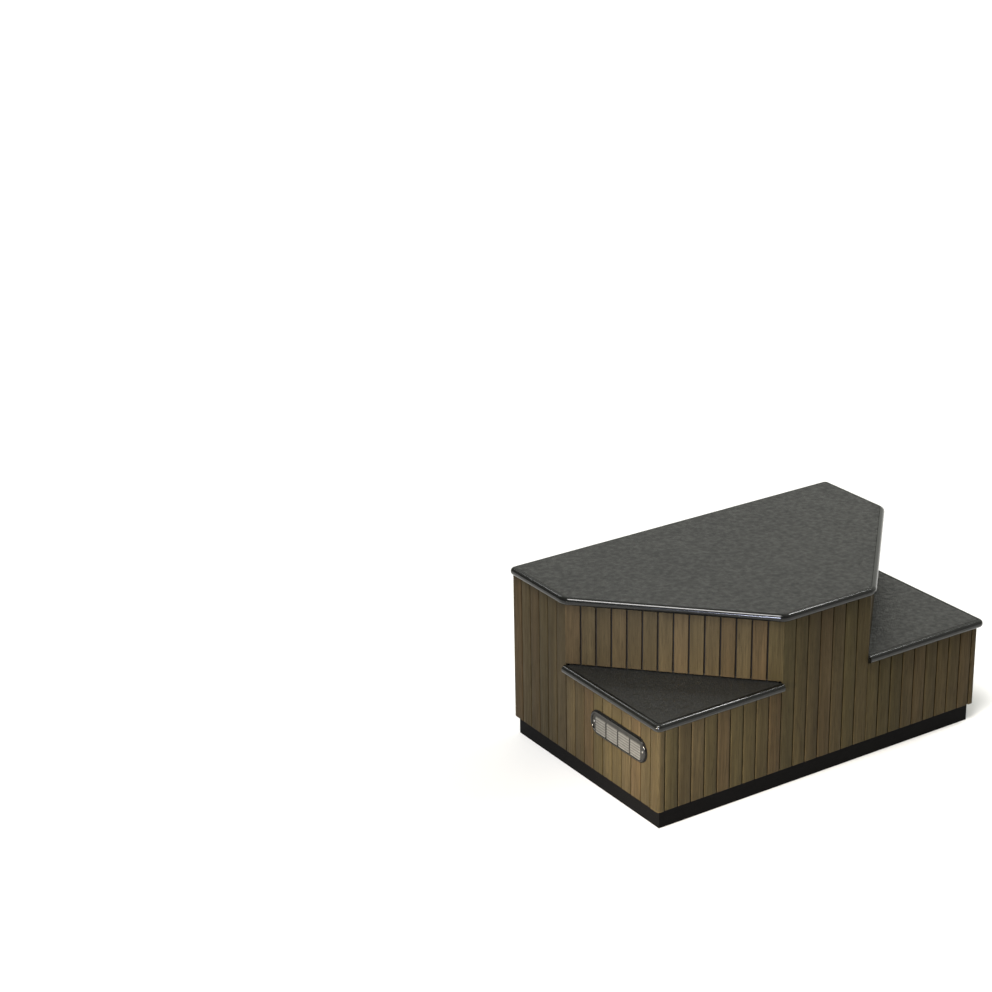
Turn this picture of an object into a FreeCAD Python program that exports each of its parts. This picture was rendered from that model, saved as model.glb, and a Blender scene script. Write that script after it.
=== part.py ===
import math
import os

import FreeCAD, Part
import Sketcher

# Corner-cut spa steps: a full-height deck between two low triangular treads, on a slatted
# cabinet.  Origin at the floor under the middle, +X along the width, +Y towards the tub, +Z up.

DRIVING = [
    ("width", "1066", "cabinet width over the slats"),
    ("depth", "650", "cabinet depth over the slats"),
    ("leg_x", "389.5", "front face taken by each tread"),
    ("leg_y", "404", "side face taken by each tread"),
    ("overhang", "13", "boards past the slats"),
    ("deck_height", "496", "floor to top of deck"),
    ("tread_height", "302", "floor to top of treads"),
    ("board_thick", "22", "deck and tread thickness"),
    ("nose_radius", "10.8", "bullnose radius"),
    ("corner_radius", "16", "plan radius of board corners"),
    ("plinth_height", "52", "floor to underside of cabinet"),
    ("plinth_recess", "12", "plinth back from the slats"),
    ("timber", "38", "posts, rails and plinth boards"),
    ("rail_high", "38", "height of the top rails"),
    ("bearer_high", "45", "height of the tread bearers"),
    ("rail_inset", "38", "riser rail short of the wall corners"),
    ("bearer_inset", "47", "riser bearer short of the wall corners"),
    ("bearer_step", "22", "riser bearer in front of the riser face"),
    ("bearer_space", "4", "room between meeting bearers"),
    ("slat_thick", "10", "slat thickness"),
    ("slat_gap", "4", "groove between slats"),
    ("slat_bevel", "1.2", "bevel on the slat edges"),
    ("riser_gap", "4", "shadow gap under the riser slats"),
    ("lining_thick", "6", "lining board thickness"),
    ("floor_thick", "12", "floor board thickness"),
    ("low_count", "9", "slats under one tread edge"),
    ("back_count", "6", "slats behind the tread on one side"),
    ("middle_count", "7", "slats on the middle of the front"),
    ("riser_count", "14", "slats on one riser"),
    ("trim_front", "20.5", "corner trim on the front face"),
    ("trim_side", "35", "corner trim on the side face"),
    ("trim_radius", "8", "corner trim outer radius"),
    ("buffer_thick", "2", "rubber pad under the deck"),
    ("buffer_wide", "20", "rubber pad diameter"),
    ("core_thick", "12", "stiffening board thickness"),
    ("core_inset", "25", "stiffening board from the board edge"),
    ("tongue_end", "10", "tread tongue short of the wall corners"),
    ("tongue_back", "9", "tread tongue under the riser slats"),
    ("tread_space", "0.5", "tread clear of the tall walls"),
    ("cleat_high", "25", "cleats under the deck"),
    ("cleat_space", "3", "cleats clear of the rails"),
    ("joist_place", "178", "floor joists from the middle"),
    ("vent_from_front", "168", "vent centre from the front face"),
    ("vent_level", "197", "vent centre from the floor"),
    ("vent_length", "236", "vent over its rim"),
    ("vent_high", "64", "vent over its rim"),
    ("vent_plate_thick", "1.2", "vent plate thickness"),
    ("vent_gasket_thick", "1", "gasket behind the vent"),
    ("vent_rim_wide", "5", "width of the raised rim"),
    ("vent_rim_high", "2.6", "rim above the plate"),
    ("vent_rim_round", "2", "radius on the rim's front edges"),
    ("vent_gasket_wide", "8", "gasket ring inwards of the vent's outline"),
    ("vent_gasket_out", "3.5", "gasket past the vent's outline"),
    ("louvre_inner", "45", "louvre length beside the middle"),
    ("louvre_outer", "42", "louvre length next to a screw"),
    ("louvre_space", "6", "plain strip between louvre columns"),
    ("louvre_row", "7.4", "louvre row spacing"),
    ("louvre_rows", "7", "louvre rows"),
    ("louvre_slot", "3", "louvre opening"),
    ("louvre_skirt", "6", "height of a louvre's sloping face"),
    ("louvre_out", "2", "louvre lip above the plate"),
    ("louvre_thick", "0.8", "thickness of a louvre's face"),
    ("window_high", "46", "opening behind the vent"),
    ("screw_reach", "104", "vent screws from the vent centre"),
    ("screw_head", "7", "vent screw head diameter"),
    ("screw_head_high", "2", "vent screw head height"),
    ("screw_shank", "3.6", "screw shank diameter"),
    ("screw_long", "14", "vent screw length under the head"),
    ("panel_head", "8.4", "back panel screw head diameter"),
    ("panel_long", "24", "back panel screw length"),
    ("panel_rows", "4", "back panel screws up each post"),
    ("panel_first", "96", "lowest back panel screw"),
    ("panel_step", "104", "back panel screw spacing"),
]

V = FreeCAD.Vector
UP = V(0, 0, 1)
CLOSE = 0.01  # millimetres or cubic millimetres that count as nothing

document = FreeCAD.newDocument("spa_steps")
sheet = document.addObject("Spreadsheet::Sheet", "Sizes")
for line, (alias, number, meaning) in enumerate(DRIVING, 1):
    sheet.set(f"A{line}", meaning)
    sheet.set(f"B{line}", number)
    sheet.setAlias(f"B{line}", alias)
document.recompute()

nodes = {}


# ---------------------------------------------------------------- formulas over the sheet

class Size(str):
    """A sheet formula that ordinary arithmetic makes into a longer one."""

    def __add__(self, other):
        return Size(f"({self} + {other})")

    def __radd__(self, other):
        return Size(f"({other} + {self})")

    def __sub__(self, other):
        return Size(f"({self} - {other})")

    def __rsub__(self, other):
        return Size(f"({other} - {self})")

    def __mul__(self, other):
        return Size(f"({self} * {other})")

    def __rmul__(self, other):
        return Size(f"({other} * {self})")

    def __truediv__(self, other):
        return Size(f"({self} / {other})")

    def __neg__(self):
        return Size(f"(-{self})")


def cell(alias):
    return Size(f"Sizes.{alias}")


def value(formula):
    """The number that a formula gives now, in millimetres or degrees."""
    result = sheet.evalExpression(str(formula))
    return float(getattr(result, "Value", result))


WIDTH = cell("width")
DEPTH = cell("depth")
LEG_X = cell("leg_x")
LEG_Y = cell("leg_y")
OVERHANG = cell("overhang")
SLAT = cell("slat_thick")
TIMBER = cell("timber")
PLINTH = cell("plinth_height")
BOARD = cell("board_thick")
THICKNESS = SLAT + cell("lining_thick")
FRAME = THICKNESS + TIMBER

SIDE_X = WIDTH / 2
FRONT_Y = (OVERHANG - DEPTH) / 2
BACK_Y = (OVERHANG + DEPTH) / 2
CORNER_B_Y = FRONT_Y + LEG_Y
CORNER_C_X = SIDE_X - LEG_X
BACK_RUN = DEPTH - LEG_Y

RISER = Size(f"hypot({LEG_X}; {LEG_Y})")
SIN = LEG_Y / RISER
COS = LEG_X / RISER
MITRE_B = (1 - SIN) / COS
MITRE_C = (1 - COS) / SIN

TREAD_UNDER = cell("tread_height") - BOARD
DECK_UNDER = cell("deck_height") - BOARD
WALL_TOP = DECK_UNDER - cell("buffer_thick")
RAIL_UNDER = WALL_TOP - cell("rail_high")
FLOOR_TOP = PLINTH + cell("floor_thick")
RISER_FOOT = cell("tread_height") + cell("riser_gap")

# Each wall has its own frame: X runs along the outer face, Y goes inwards, Z is up.
SIDE_WALL = (-SIDE_X, BACK_Y, Size("-90"))
RISER_WALL = (-SIDE_X, CORNER_B_Y, Size(f"-atan({LEG_Y} / {LEG_X})"))
FRONT_WALL = (-SIDE_X, FRONT_Y, None)
CENTRE = (Size("0"), Size("0"), None)


# ---------------------------------------------------------------- building blocks

def place(thing, frame, base=None):
    """Put an object in a wall's frame, its own zero at the height base."""
    across, back, turn = frame
    thing.Placement = FreeCAD.Placement(V(0, 0, 0), FreeCAD.Rotation(UP, 0))
    thing.setExpression("Placement.Base.x", str(across))
    thing.setExpression("Placement.Base.y", str(back))
    if base is not None:
        thing.setExpression("Placement.Base.z", str(base))
    if turn is not None:
        thing.Placement = FreeCAD.Placement(V(0, 0, 0), FreeCAD.Rotation(UP, value(turn)))
        thing.setExpression("Placement.Rotation.Angle", str(turn))


def own_plane(body, role):
    return next(item for item in body.Origin.OriginFeatures if item.Role == role)


def new_body(label, frame, base=None):
    body = document.addObject("PartDesign::Body", "body_" + label)
    body.Label = label
    place(body, frame, base)
    return body


def new_sketch(body, name, role="XY_Plane", out=None):
    """A sketch on one of the body's origin planes, moved along its normal by out."""
    sketch = body.newObject("Sketcher::SketchObject", name)
    sketch.AttachmentSupport = [(own_plane(body, role), "")]
    sketch.MapMode = "FlatFace"
    if out is not None:
        sketch.setExpression("AttachmentOffset.Base.z", str(out))
    return sketch


def fix_point(sketch, part, end, point):
    """Tie one end of a sketch line or arc to two formulas from the sketch's origin."""
    for kind, formula in zip(("DistanceX", "DistanceY"), point):
        number = value(formula)
        tie = sketch.addConstraint(Sketcher.Constraint(kind, -1, 1, part, end, number))
        sketch.setExpression(f"Constraints[{tie}]", str(formula))


def draw_outline(sketch, points):
    """Closed outline of straight lines through points given as formulas."""
    corners = [V(value(point[0]), value(point[1]), 0) for point in points]
    first = sketch.GeometryCount
    count = len(points)
    for step in range(count):
        line = Part.LineSegment(corners[step], corners[(step + 1) % count])
        sketch.addGeometry(line, False)
    for step in range(count):
        after = first + (step + 1) % count
        sketch.addConstraint(Sketcher.Constraint("Coincident", first + step, 2, after, 1))
    for step, point in enumerate(points):
        fix_point(sketch, first + step, 1, point)


def draw_stadium(sketch, centre, length, high):
    """Closed outline of two half circles joined by straight lines."""
    radius = high / 2
    reach = length / 2 - radius
    middle = V(value(centre[0]), value(centre[1]), 0)
    first = sketch.GeometryCount
    for side, start in ((1, -0.5), (-1, 0.5)):
        hub = middle + V(side * value(reach), 0, 0)
        circle = Part.Circle(hub, UP, value(radius))
        arc = Part.ArcOfCircle(circle, start * math.pi, (start + 1) * math.pi)
        sketch.addGeometry(arc, False)
    for side in (1, -1):
        rise = V(0, side * value(radius), 0)
        run = V(side * value(reach), 0, 0)
        sketch.addGeometry(Part.LineSegment(middle + run + rise, middle - run + rise), False)
    right, left, top, bottom = range(first, first + 4)
    ends = ((right, 2, top, 1), (top, 2, left, 1), (left, 2, bottom, 1), (bottom, 2, right, 1))
    for arc, arc_end, line, line_end in ends:
        sketch.addConstraint(Sketcher.Constraint("Tangent", arc, arc_end, line, line_end))
    fix_point(sketch, right, 3, (centre[0] + reach, centre[1]))
    fix_point(sketch, left, 3, (centre[0] - reach, centre[1]))
    tie = sketch.addConstraint(Sketcher.Constraint("Radius", right, value(radius)))
    sketch.setExpression(f"Constraints[{tie}]", str(radius))


def add_pad(body, sketch, length, name="Pad", reverse=False):
    pad = body.newObject("PartDesign::Pad", name)
    pad.Profile = sketch
    pad.Reversed = reverse
    pad.setExpression("Length", str(length))
    document.recompute()
    return pad


def add_pocket(body, sketch, depth, name="Pocket", reverse=True):
    """Pocket that has to take something away, so that its direction is known to be right."""
    before = body.Shape.Volume
    pocket = body.newObject("PartDesign::Pocket", name)
    pocket.Profile = sketch
    pocket.Reversed = reverse
    pocket.setExpression("Length", str(depth))
    document.recompute()
    if not body.Shape.Volume < before - CLOSE:
        raise RuntimeError(f"{body.Label}: {name} cuts nothing")
    return pocket


def add_fillet(body, base, edges, radius, name):
    fillet = body.newObject("PartDesign::Fillet", name)
    fillet.Base = (base, edges)
    fillet.setExpression("Radius", str(radius))
    document.recompute()
    return fillet


def edges_where(feature, test):
    return [f"Edge{index}" for index, edge in enumerate(feature.Shape.Edges, 1) if test(edge)]


def is_upright(edge):
    return abs(edge.tangentAt(edge.FirstParameter).z) > 0.99


def keep(label, thing):
    thing.Label = label
    nodes[label] = thing
    return thing


def prism(label, points, base, length, frame=CENTRE):
    """Upright board with the given plan, standing on the height base."""
    body = new_body(label, frame, base)
    sketch = new_sketch(body, "Plan")
    draw_outline(sketch, points)
    add_pad(body, sketch, length)
    return body


def upright_sheet(label, points, inwards, thick, frame):
    """Flat sheet in a wall, drawn in elevation, its outer face inwards from the slats."""
    body = new_body(label, frame)
    sketch = new_sketch(body, "Elevation", "XZ_Plane", -inwards)
    draw_outline(sketch, points)
    add_pad(body, sketch, thick, reverse=True)
    return body


def timber_board(label, x_range, y_range, z_range):
    box = document.addObject("Part::Box", "box_" + label)
    box.Label = label
    spans = (("Length", "x", x_range), ("Width", "y", y_range), ("Height", "z", z_range))
    for name, axis, (low, high) in spans:
        box.setExpression(name, str(Size(high) - low))
        box.setExpression(f"Placement.Base.{axis}", str(low))
    return box


def mirrored(label, source):
    """The same piece on the other side of the middle."""
    twin = document.addObject("Part::Mirroring", "twin_" + label)
    twin.Source = source
    twin.Normal = V(1, 0, 0)
    twin.Base = V(0, 0, 0)
    return keep(label, twin)


def pair(name, source):
    """Keep a left-hand piece and its mirror image under one name."""
    keep(name + "_left", source)
    mirrored(name + "_right", source)


def group(label, members):
    bunch = document.addObject("Part::Compound", "group_" + label)
    bunch.Links = members
    return keep(label, bunch)


def cut_from(label, base, tool):
    cut = document.addObject("Part::Cut", "cut_" + label)
    cut.Base = base
    cut.Tool = tool
    return cut


# ---------------------------------------------------------------- slatted walls

def row_end(at, side, mitre):
    """Plan points of a row's end, from the inner face out: a mitre or half a groove."""
    if mitre is not None:
        return [(at - side * mitre * SLAT, SLAT), (at, Size("0"))]
    edge = at - side * cell("slat_gap") / 2
    bevel = cell("slat_bevel")
    return [(edge, SLAT), (edge, bevel), (edge - side * bevel, Size("0"))]


def slat_row(label, frame, start, end, count, foot, top, start_mitre=None, end_mitre=None):
    """Run of upright slats: one strip, cut into slats by a bevelled groove that repeats."""
    body = new_body(label, frame, foot)
    high = top - foot
    strip = new_sketch(body, "Strip")
    left = row_end(start, -1, start_mitre)
    right = row_end(end, 1, end_mitre)
    draw_outline(strip, left + right[::-1])
    add_pad(body, strip, high)
    pitch = (end - start) / count
    centre = start + pitch
    half = cell("slat_gap") / 2
    bevel = cell("slat_bevel")
    groove = new_sketch(body, "Groove")
    zero = Size("0")
    left_side = [(centre - half, SLAT), (centre - half, bevel), (centre - half - bevel, zero)]
    right_side = [(centre + half + bevel, zero), (centre + half, bevel), (centre + half, SLAT)]
    draw_outline(groove, left_side + right_side)
    pocket = add_pocket(body, groove, high)
    pattern = body.newObject("PartDesign::LinearPattern", "Grooves")
    pattern.Originals = [pocket]
    pattern.Direction = (own_plane(body, "X_Axis"), [""])
    pattern.Mode = "Spacing"
    pattern.setExpression("Offset", str(pitch))
    pattern.setExpression("Occurrences", str(count - 1))
    body.Tip = pattern
    document.recompute()
    return body


def build_slats():
    """Every row of slats, with the vent's window cut through the left-hand low row."""
    side_low = slat_row("side_low_row", SIDE_WALL, BACK_RUN, DEPTH - cell("trim_side"),
                        cell("low_count"), PLINTH, TREAD_UNDER)
    keep("slats_left_low", cut_from("slats_left_low", side_low, vent_window("slat_window")))
    mirrored("slats_right_low", side_low)
    pair_of_rows = {
        "slats_tall": slat_row("side_tall_row", SIDE_WALL, Size("0"), BACK_RUN,
                               cell("back_count"), PLINTH, WALL_TOP, None, MITRE_B),
        "slats_front": slat_row("front_low_row", FRONT_WALL, cell("trim_front"), LEG_X,
                                cell("low_count"), PLINTH, TREAD_UNDER),
        "slats_riser": slat_row("riser_row", RISER_WALL, Size("0"), RISER,
                                cell("riser_count"), RISER_FOOT, WALL_TOP, MITRE_B, MITRE_C),
    }
    for name, row in pair_of_rows.items():
        pair(name, row)
    keep("slats_front_middle",
         slat_row("middle_row", FRONT_WALL, LEG_X, WIDTH - LEG_X, cell("middle_count"),
                  PLINTH, WALL_TOP, MITRE_C, MITRE_C))


def build_corner_trims():
    """L-shaped trim round each front corner, its outer edge rounded."""
    zero = Size("0")
    front_leg = cell("trim_front") - cell("slat_gap") / 2
    side_leg = cell("trim_side") - cell("slat_gap") / 2
    plan = [(zero, zero), (front_leg, zero), (front_leg, SLAT), (SLAT, SLAT),
            (SLAT, side_leg), (zero, side_leg)]
    trim = prism("trim", plan, PLINTH, TREAD_UNDER - PLINTH, FRONT_WALL)
    corner = edges_where(trim.Tip, lambda edge: is_upright(edge) and edge.CenterOfMass.x
                         < CLOSE and edge.CenterOfMass.y < CLOSE)
    add_fillet(trim, trim.Tip, corner, cell("trim_radius"), "Round")
    pair("corner_trim", trim)


# ---------------------------------------------------------------- linings and back panel

def build_linings():
    """Boards behind the slats: the side ones step down where the treads start."""
    thick = cell("lining_thick")
    side_end = DEPTH - SLAT
    step = BACK_RUN - MITRE_B * THICKNESS
    zero = Size("0")
    side = [(zero, PLINTH), (side_end, PLINTH), (side_end, TREAD_UNDER), (step, TREAD_UNDER),
            (step, WALL_TOP), (zero, WALL_TOP)]
    side_lining = upright_sheet("side_lining", side, SLAT, thick, SIDE_WALL)
    keep("lining_left", cut_from("lining_left", side_lining, vent_window("lining_window")))
    mirrored("lining_right", side_lining)

    left = LEG_X + MITRE_C * THICKNESS
    right = WIDTH - left
    front = [(THICKNESS, PLINTH), (WIDTH - THICKNESS, PLINTH), (WIDTH - THICKNESS, TREAD_UNDER),
             (right, TREAD_UNDER), (right, WALL_TOP), (left, WALL_TOP),
             (left, TREAD_UNDER), (THICKNESS, TREAD_UNDER)]
    keep("lining_front", upright_sheet("front_lining", front, SLAT, thick, FRONT_WALL))

    start = MITRE_B * THICKNESS
    end = RISER - MITRE_C * THICKNESS
    riser = [(start, TREAD_UNDER), (end, TREAD_UNDER), (end, WALL_TOP), (start, WALL_TOP)]
    pair("lining_riser", upright_sheet("riser_lining", riser, SLAT, thick, RISER_WALL))


def build_back_panel():
    """Plain board across the back, with a countersunk screw every so often up each post."""
    reach = SIDE_X - THICKNESS
    panel = timber_board("panel_board", (-reach, reach), (BACK_Y - cell("lining_thick"), BACK_Y),
                         (PLINTH, WALL_TOP))
    screws = []
    across = reach - TIMBER / 2
    for side in (-1, 1):
        for row in range(int(value(cell("panel_rows")))):
            level = cell("panel_first") + row * cell("panel_step")
            screws.append(countersunk_screw(f"panel_screw_{len(screws)}", side * across, level))
    bunch = group("back_panel_screws", screws)
    keep("back_panel", cut_from("back_panel", panel, bunch))


def countersunk_screw(label, across, level):
    """Screw that points forwards from the back face, its head flush with it."""
    head = cell("panel_head") / 2
    shank = cell("screw_shank") / 2
    body = new_body(label, (across, BACK_Y, None), level)
    sketch = new_sketch(body, "Section", "XY_Plane")
    zero = Size("0")
    half = [(zero, zero), (head, zero), (shank, shank - head), (shank, -cell("panel_long")),
            (zero, -cell("panel_long"))]
    draw_outline(sketch, half)
    turned = body.newObject("PartDesign::Revolution", "Turned")
    turned.Profile = sketch
    turned.ReferenceAxis = (own_plane(body, "Y_Axis"), [""])
    turned.Angle = 360
    document.recompute()
    return body


# ---------------------------------------------------------------- frame and plinth

def build_plinth():
    recess = cell("plinth_recess")
    outer_x = SIDE_X - recess
    front = FRONT_Y + recess
    back = BACK_Y - cell("lining_thick")
    levels = (Size("0"), PLINTH)
    across = (-outer_x, outer_x)
    between = (front + TIMBER, back - TIMBER)
    keep("plinth_front", timber_board("plinth_front", across, (front, front + TIMBER), levels))
    keep("plinth_back", timber_board("plinth_back", across, (back - TIMBER, back), levels))
    pair("plinth", timber_board("plinth_side", (-outer_x, TIMBER - outer_x), between, levels))
    middle = -cell("joist_place")
    pair("floor_joist", timber_board("joist", (middle - TIMBER / 2, middle + TIMBER / 2),
                                     between, levels))
    reach = SIDE_X - THICKNESS
    keep("floor_board", timber_board("floor_board", (-reach, reach), (FRONT_Y + THICKNESS, back),
                                     (PLINTH, FLOOR_TOP)))


def build_posts():
    """Posts inside the linings: three tall pairs, and a short pair in the front corners."""
    outer = THICKNESS - SIDE_X
    inner = FRAME - SIDE_X
    back = BACK_Y - cell("lining_thick")
    tall = (FLOOR_TOP, WALL_TOP)
    short = (FLOOR_TOP, TREAD_UNDER)
    side_y = CORNER_B_Y + MITRE_B * THICKNESS
    front_x = MITRE_C * THICKNESS - CORNER_C_X
    front_row = (FRONT_Y + THICKNESS, FRONT_Y + FRAME)
    pair("post_back", timber_board("back_post", (outer, inner), (back - TIMBER, back), tall))
    pair("post_side", timber_board("side_post", (outer, inner), (side_y, side_y + TIMBER), tall))
    pair("post_front", timber_board("front_post", (front_x, front_x + TIMBER), front_row, tall))
    pair("post_corner", timber_board("corner_post", (outer, inner), front_row, short))


def build_top_rails():
    """Rails between the tall posts that the deck sits on."""
    outer = THICKNESS - SIDE_X
    inner = FRAME - SIDE_X
    back = BACK_Y - cell("lining_thick")
    levels = (RAIL_UNDER, WALL_TOP)
    side_y = CORNER_B_Y + MITRE_B * THICKNESS + TIMBER
    front_x = CORNER_C_X - MITRE_C * THICKNESS - TIMBER
    front_row = (FRONT_Y + THICKNESS, FRONT_Y + FRAME)
    pair("top_rail", timber_board("side_rail", (outer, inner), (side_y, back - TIMBER), levels))
    keep("top_rail_back", timber_board("top_rail_back", (inner, -inner), (back - TIMBER, back),
                                       levels))
    keep("top_rail_front", timber_board("top_rail_front", (-front_x, front_x), front_row,
                                        levels))
    inset = cell("rail_inset")
    plan = [(inset, THICKNESS), (RISER - inset, THICKNESS), (RISER - inset, FRAME),
            (inset, FRAME)]
    pair("top_rail_riser", prism("riser_rail", plan, RAIL_UNDER, cell("rail_high"), RISER_WALL))


def build_bearers():
    """Bearers under each tread: one along the riser and one along each outer wall."""
    under = TREAD_UNDER - cell("bearer_high")
    levels = (under, TREAD_UNDER)
    inset = cell("bearer_inset")
    step = cell("bearer_step")
    plan = [(inset, -step), (RISER - inset, -step), (RISER - inset, THICKNESS),
            (inset, THICKNESS)]
    pair("bearer_riser", prism("riser_bearer", plan, under, cell("bearer_high"), RISER_WALL))
    outer = THICKNESS - SIDE_X
    inner = FRAME - SIDE_X
    start_y = FRONT_Y + FRAME
    end_y = CORNER_B_Y - (step + FRAME * SIN) / COS - cell("bearer_space")
    end_x = -CORNER_C_X - (step + FRAME * COS) / SIN - cell("bearer_space")
    pair("bearer_side", timber_board("side_bearer", (outer, inner), (start_y, end_y), levels))
    pair("bearer_front", timber_board("front_bearer", (inner, end_x),
                                      (FRONT_Y + THICKNESS, start_y), levels))


# ---------------------------------------------------------------- treads and deck

def riser_point(along, inwards):
    """A point of the riser's frame, as seen from the cabinet's front left corner."""
    return (along * COS + inwards * SIN, LEG_Y - along * SIN + inwards * COS)


def on_riser_line(inwards, x=None, y=None):
    """Where a line parallel to the riser crosses a given x or y."""
    if x is not None:
        return (x, LEG_Y + (inwards - x * SIN) / COS)
    return ((inwards + (LEG_Y - y) * COS) / SIN, y)


def build_treads():
    """Low triangular board with a bullnose on its two free edges and a tongue at the back."""
    space = -cell("tread_space")
    end = cell("tongue_end")
    back = cell("tongue_back")
    plan = [(-OVERHANG, -OVERHANG), (LEG_X, -OVERHANG), on_riser_line(space, x=LEG_X),
            riser_point(RISER - end, space), riser_point(RISER - end, back),
            riser_point(end, back), riser_point(end, space), on_riser_line(space, y=LEG_Y),
            (-OVERHANG, LEG_Y)]
    tread = prism("tread_board", plan, TREAD_UNDER, BOARD, FRONT_WALL)
    edge_line = CLOSE - value(OVERHANG)

    def is_free_corner(edge):
        point = edge.CenterOfMass
        return is_upright(edge) and point.x < edge_line and point.y < edge_line

    def is_free_edge(edge):
        points = [vertex.Point for vertex in edge.Vertexes]
        outside = all(min(point.x, point.y) < edge_line for point in points)
        return outside and not is_upright(edge)

    corner = edges_where(tread.Tip, is_free_corner)
    rounded = add_fillet(tread, tread.Tip, corner, cell("corner_radius"), "Corner")
    add_fillet(tread, rounded, edges_where(rounded, is_free_edge), cell("nose_radius"), "Nose")
    inset = cell("core_inset") - OVERHANG
    hollow = [(inset, inset), on_riser_line(-inset, y=inset), on_riser_line(-inset, x=inset)]
    sketch = new_sketch(tread, "Hollow")
    draw_outline(sketch, hollow)
    add_pocket(tread, sketch, cell("core_thick"))
    pair("tread", tread)
    pair("tread_core", prism("tread_stiffener", hollow, TREAD_UNDER, cell("core_thick"),
                             FRONT_WALL))


def deck_plan(inset):
    """Deck outline, inset from the slat faces; a negative inset stands proud of them."""
    side = SIDE_X - inset
    side_y = CORNER_B_Y + MITRE_B * inset
    front_x = CORNER_C_X - MITRE_C * inset
    front = FRONT_Y + inset
    return side, side_y, front_x, front


def hexagon(inset, back):
    side, side_y, front_x, front = deck_plan(inset)
    return [(-front_x, front), (front_x, front), (side, side_y), (side, back), (-side, back),
            (-side, side_y)]


def build_deck():
    """Lift-off deck: bullnosed board, stiffener let into its underside, cleats below."""
    deck = prism("deck_board", hexagon(-OVERHANG, BACK_Y), DECK_UNDER, BOARD)
    rounded = add_fillet(deck, deck.Tip, edges_where(deck.Tip, is_upright),
                         cell("corner_radius"), "Corners")
    rim = edges_where(rounded, lambda edge: not is_upright(edge))
    add_fillet(deck, rounded, rim, cell("nose_radius"), "Nose")
    inset = cell("core_inset") - OVERHANG
    hollow = hexagon(inset, BACK_Y - cell("core_inset"))
    sketch = new_sketch(deck, "Hollow")
    draw_outline(sketch, hollow)
    add_pocket(deck, sketch, cell("core_thick"))
    keep("deck_board", deck)
    keep("deck_core", prism("deck_core", hollow, DECK_UNDER, cell("core_thick")))
    build_deck_cleats()
    build_deck_buffers()


def build_deck_cleats():
    """Battens under the deck that drop inside the top rails and stop it sliding."""
    outer = FRAME + cell("cleat_space")
    high = cell("cleat_high")
    levels = (DECK_UNDER - high, DECK_UNDER)
    side = SIDE_X - outer
    back = BACK_Y - cell("lining_thick") - TIMBER - cell("cleat_space")
    side_front = CORNER_B_Y + FRAME
    front = FRONT_Y + outer
    front_end = CORNER_C_X - FRAME
    cleats = [
        timber_board("cleat_left", (-side, high - side), (side_front, back - high), levels),
        timber_board("cleat_right", (side - high, side), (side_front, back - high), levels),
        timber_board("cleat_back", (-side, side), (back - high, back), levels),
        timber_board("cleat_front", (-front_end, front_end), (front, front + high), levels),
    ]
    group("deck_cleats", cleats)


def build_deck_buffers():
    """Rubber pads on the posts' and rails' tops that carry the deck."""
    middle = THICKNESS + TIMBER / 2
    side = SIDE_X - middle
    back = BACK_Y - cell("lining_thick") - TIMBER / 2
    side_y = CORNER_B_Y + MITRE_B * THICKNESS + TIMBER / 2
    front_x = CORNER_C_X - MITRE_C * THICKNESS - TIMBER / 2
    spots = [(Size("0"), back), (Size("0"), FRONT_Y + middle)]
    for turn in (-1, 1):
        spots += [(turn * side, back), (turn * side, side_y), (turn * front_x, FRONT_Y + middle)]
    pads = []
    for number, (across, along) in enumerate(spots):
        pad = document.addObject("Part::Cylinder", f"buffer_{number}")
        pad.setExpression("Radius", str(cell("buffer_wide") / 2))
        pad.setExpression("Height", str(cell("buffer_thick")))
        place(pad, (across, along, None), WALL_TOP)
        pads.append(pad)
    group("deck_buffers", pads)


# ---------------------------------------------------------------- louvred vent

VENT_CENTRE = (DEPTH - cell("vent_from_front"), cell("vent_level"))


def vent_window(label):
    """Block that cuts the window behind the vent, four slats wide between their grooves."""
    pitch = (LEG_Y - cell("trim_side")) / cell("low_count")
    front = FRONT_Y + cell("trim_side") + pitch
    level = cell("vent_level")
    half = cell("window_high") / 2
    return timber_board(label, (-SIDE_X - 1, FRAME - SIDE_X), (front, front + 4 * pitch),
                        (level - half, level + half))


def build_vent():
    """Stainless louvred vent on the left side: gasket, pressed plate, raised rim, screws."""
    gasket_thick = cell("vent_gasket_thick")
    plate_thick = cell("vent_plate_thick")
    length = cell("vent_length")
    high = cell("vent_high")
    rim = cell("vent_rim_wide")

    gasket = new_body("vent_gasket", SIDE_WALL)
    ring = new_sketch(gasket, "Ring", "XZ_Plane")
    past = 2 * cell("vent_gasket_out")
    wide = 2 * cell("vent_gasket_wide")
    draw_stadium(ring, VENT_CENTRE, length + past, high + past)
    draw_stadium(ring, VENT_CENTRE, length - wide, high - wide)
    add_pad(gasket, ring, gasket_thick)
    keep("vent_gasket", cut_from("vent_gasket", gasket, vent_drill("gasket_drill")))

    plate = new_body("vent_sheet", SIDE_WALL)
    outline = new_sketch(plate, "Outline", "XZ_Plane", gasket_thick)
    draw_stadium(outline, VENT_CENTRE, length, high)
    add_pad(plate, outline, plate_thick)
    add_louvres(plate, gasket_thick, plate_thick)
    keep("vent_plate", cut_from("vent_plate", plate, vent_drill("plate_drill")))

    rim_body = new_body("vent_rim", SIDE_WALL)
    band = new_sketch(rim_body, "Band", "XZ_Plane", gasket_thick + plate_thick)
    draw_stadium(band, VENT_CENTRE, length, high)
    draw_stadium(band, VENT_CENTRE, length - 2 * rim, high - 2 * rim)
    raised = add_pad(rim_body, band, cell("vent_rim_high"))
    face = -value(gasket_thick + plate_thick + cell("vent_rim_high"))
    front_edges = edges_where(raised, lambda edge: abs(edge.CenterOfMass.y - face) < CLOSE)
    add_fillet(rim_body, raised, front_edges, cell("vent_rim_round"), "Soften")
    keep("vent_rim", rim_body)
    build_vent_screws(gasket_thick + plate_thick)


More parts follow.
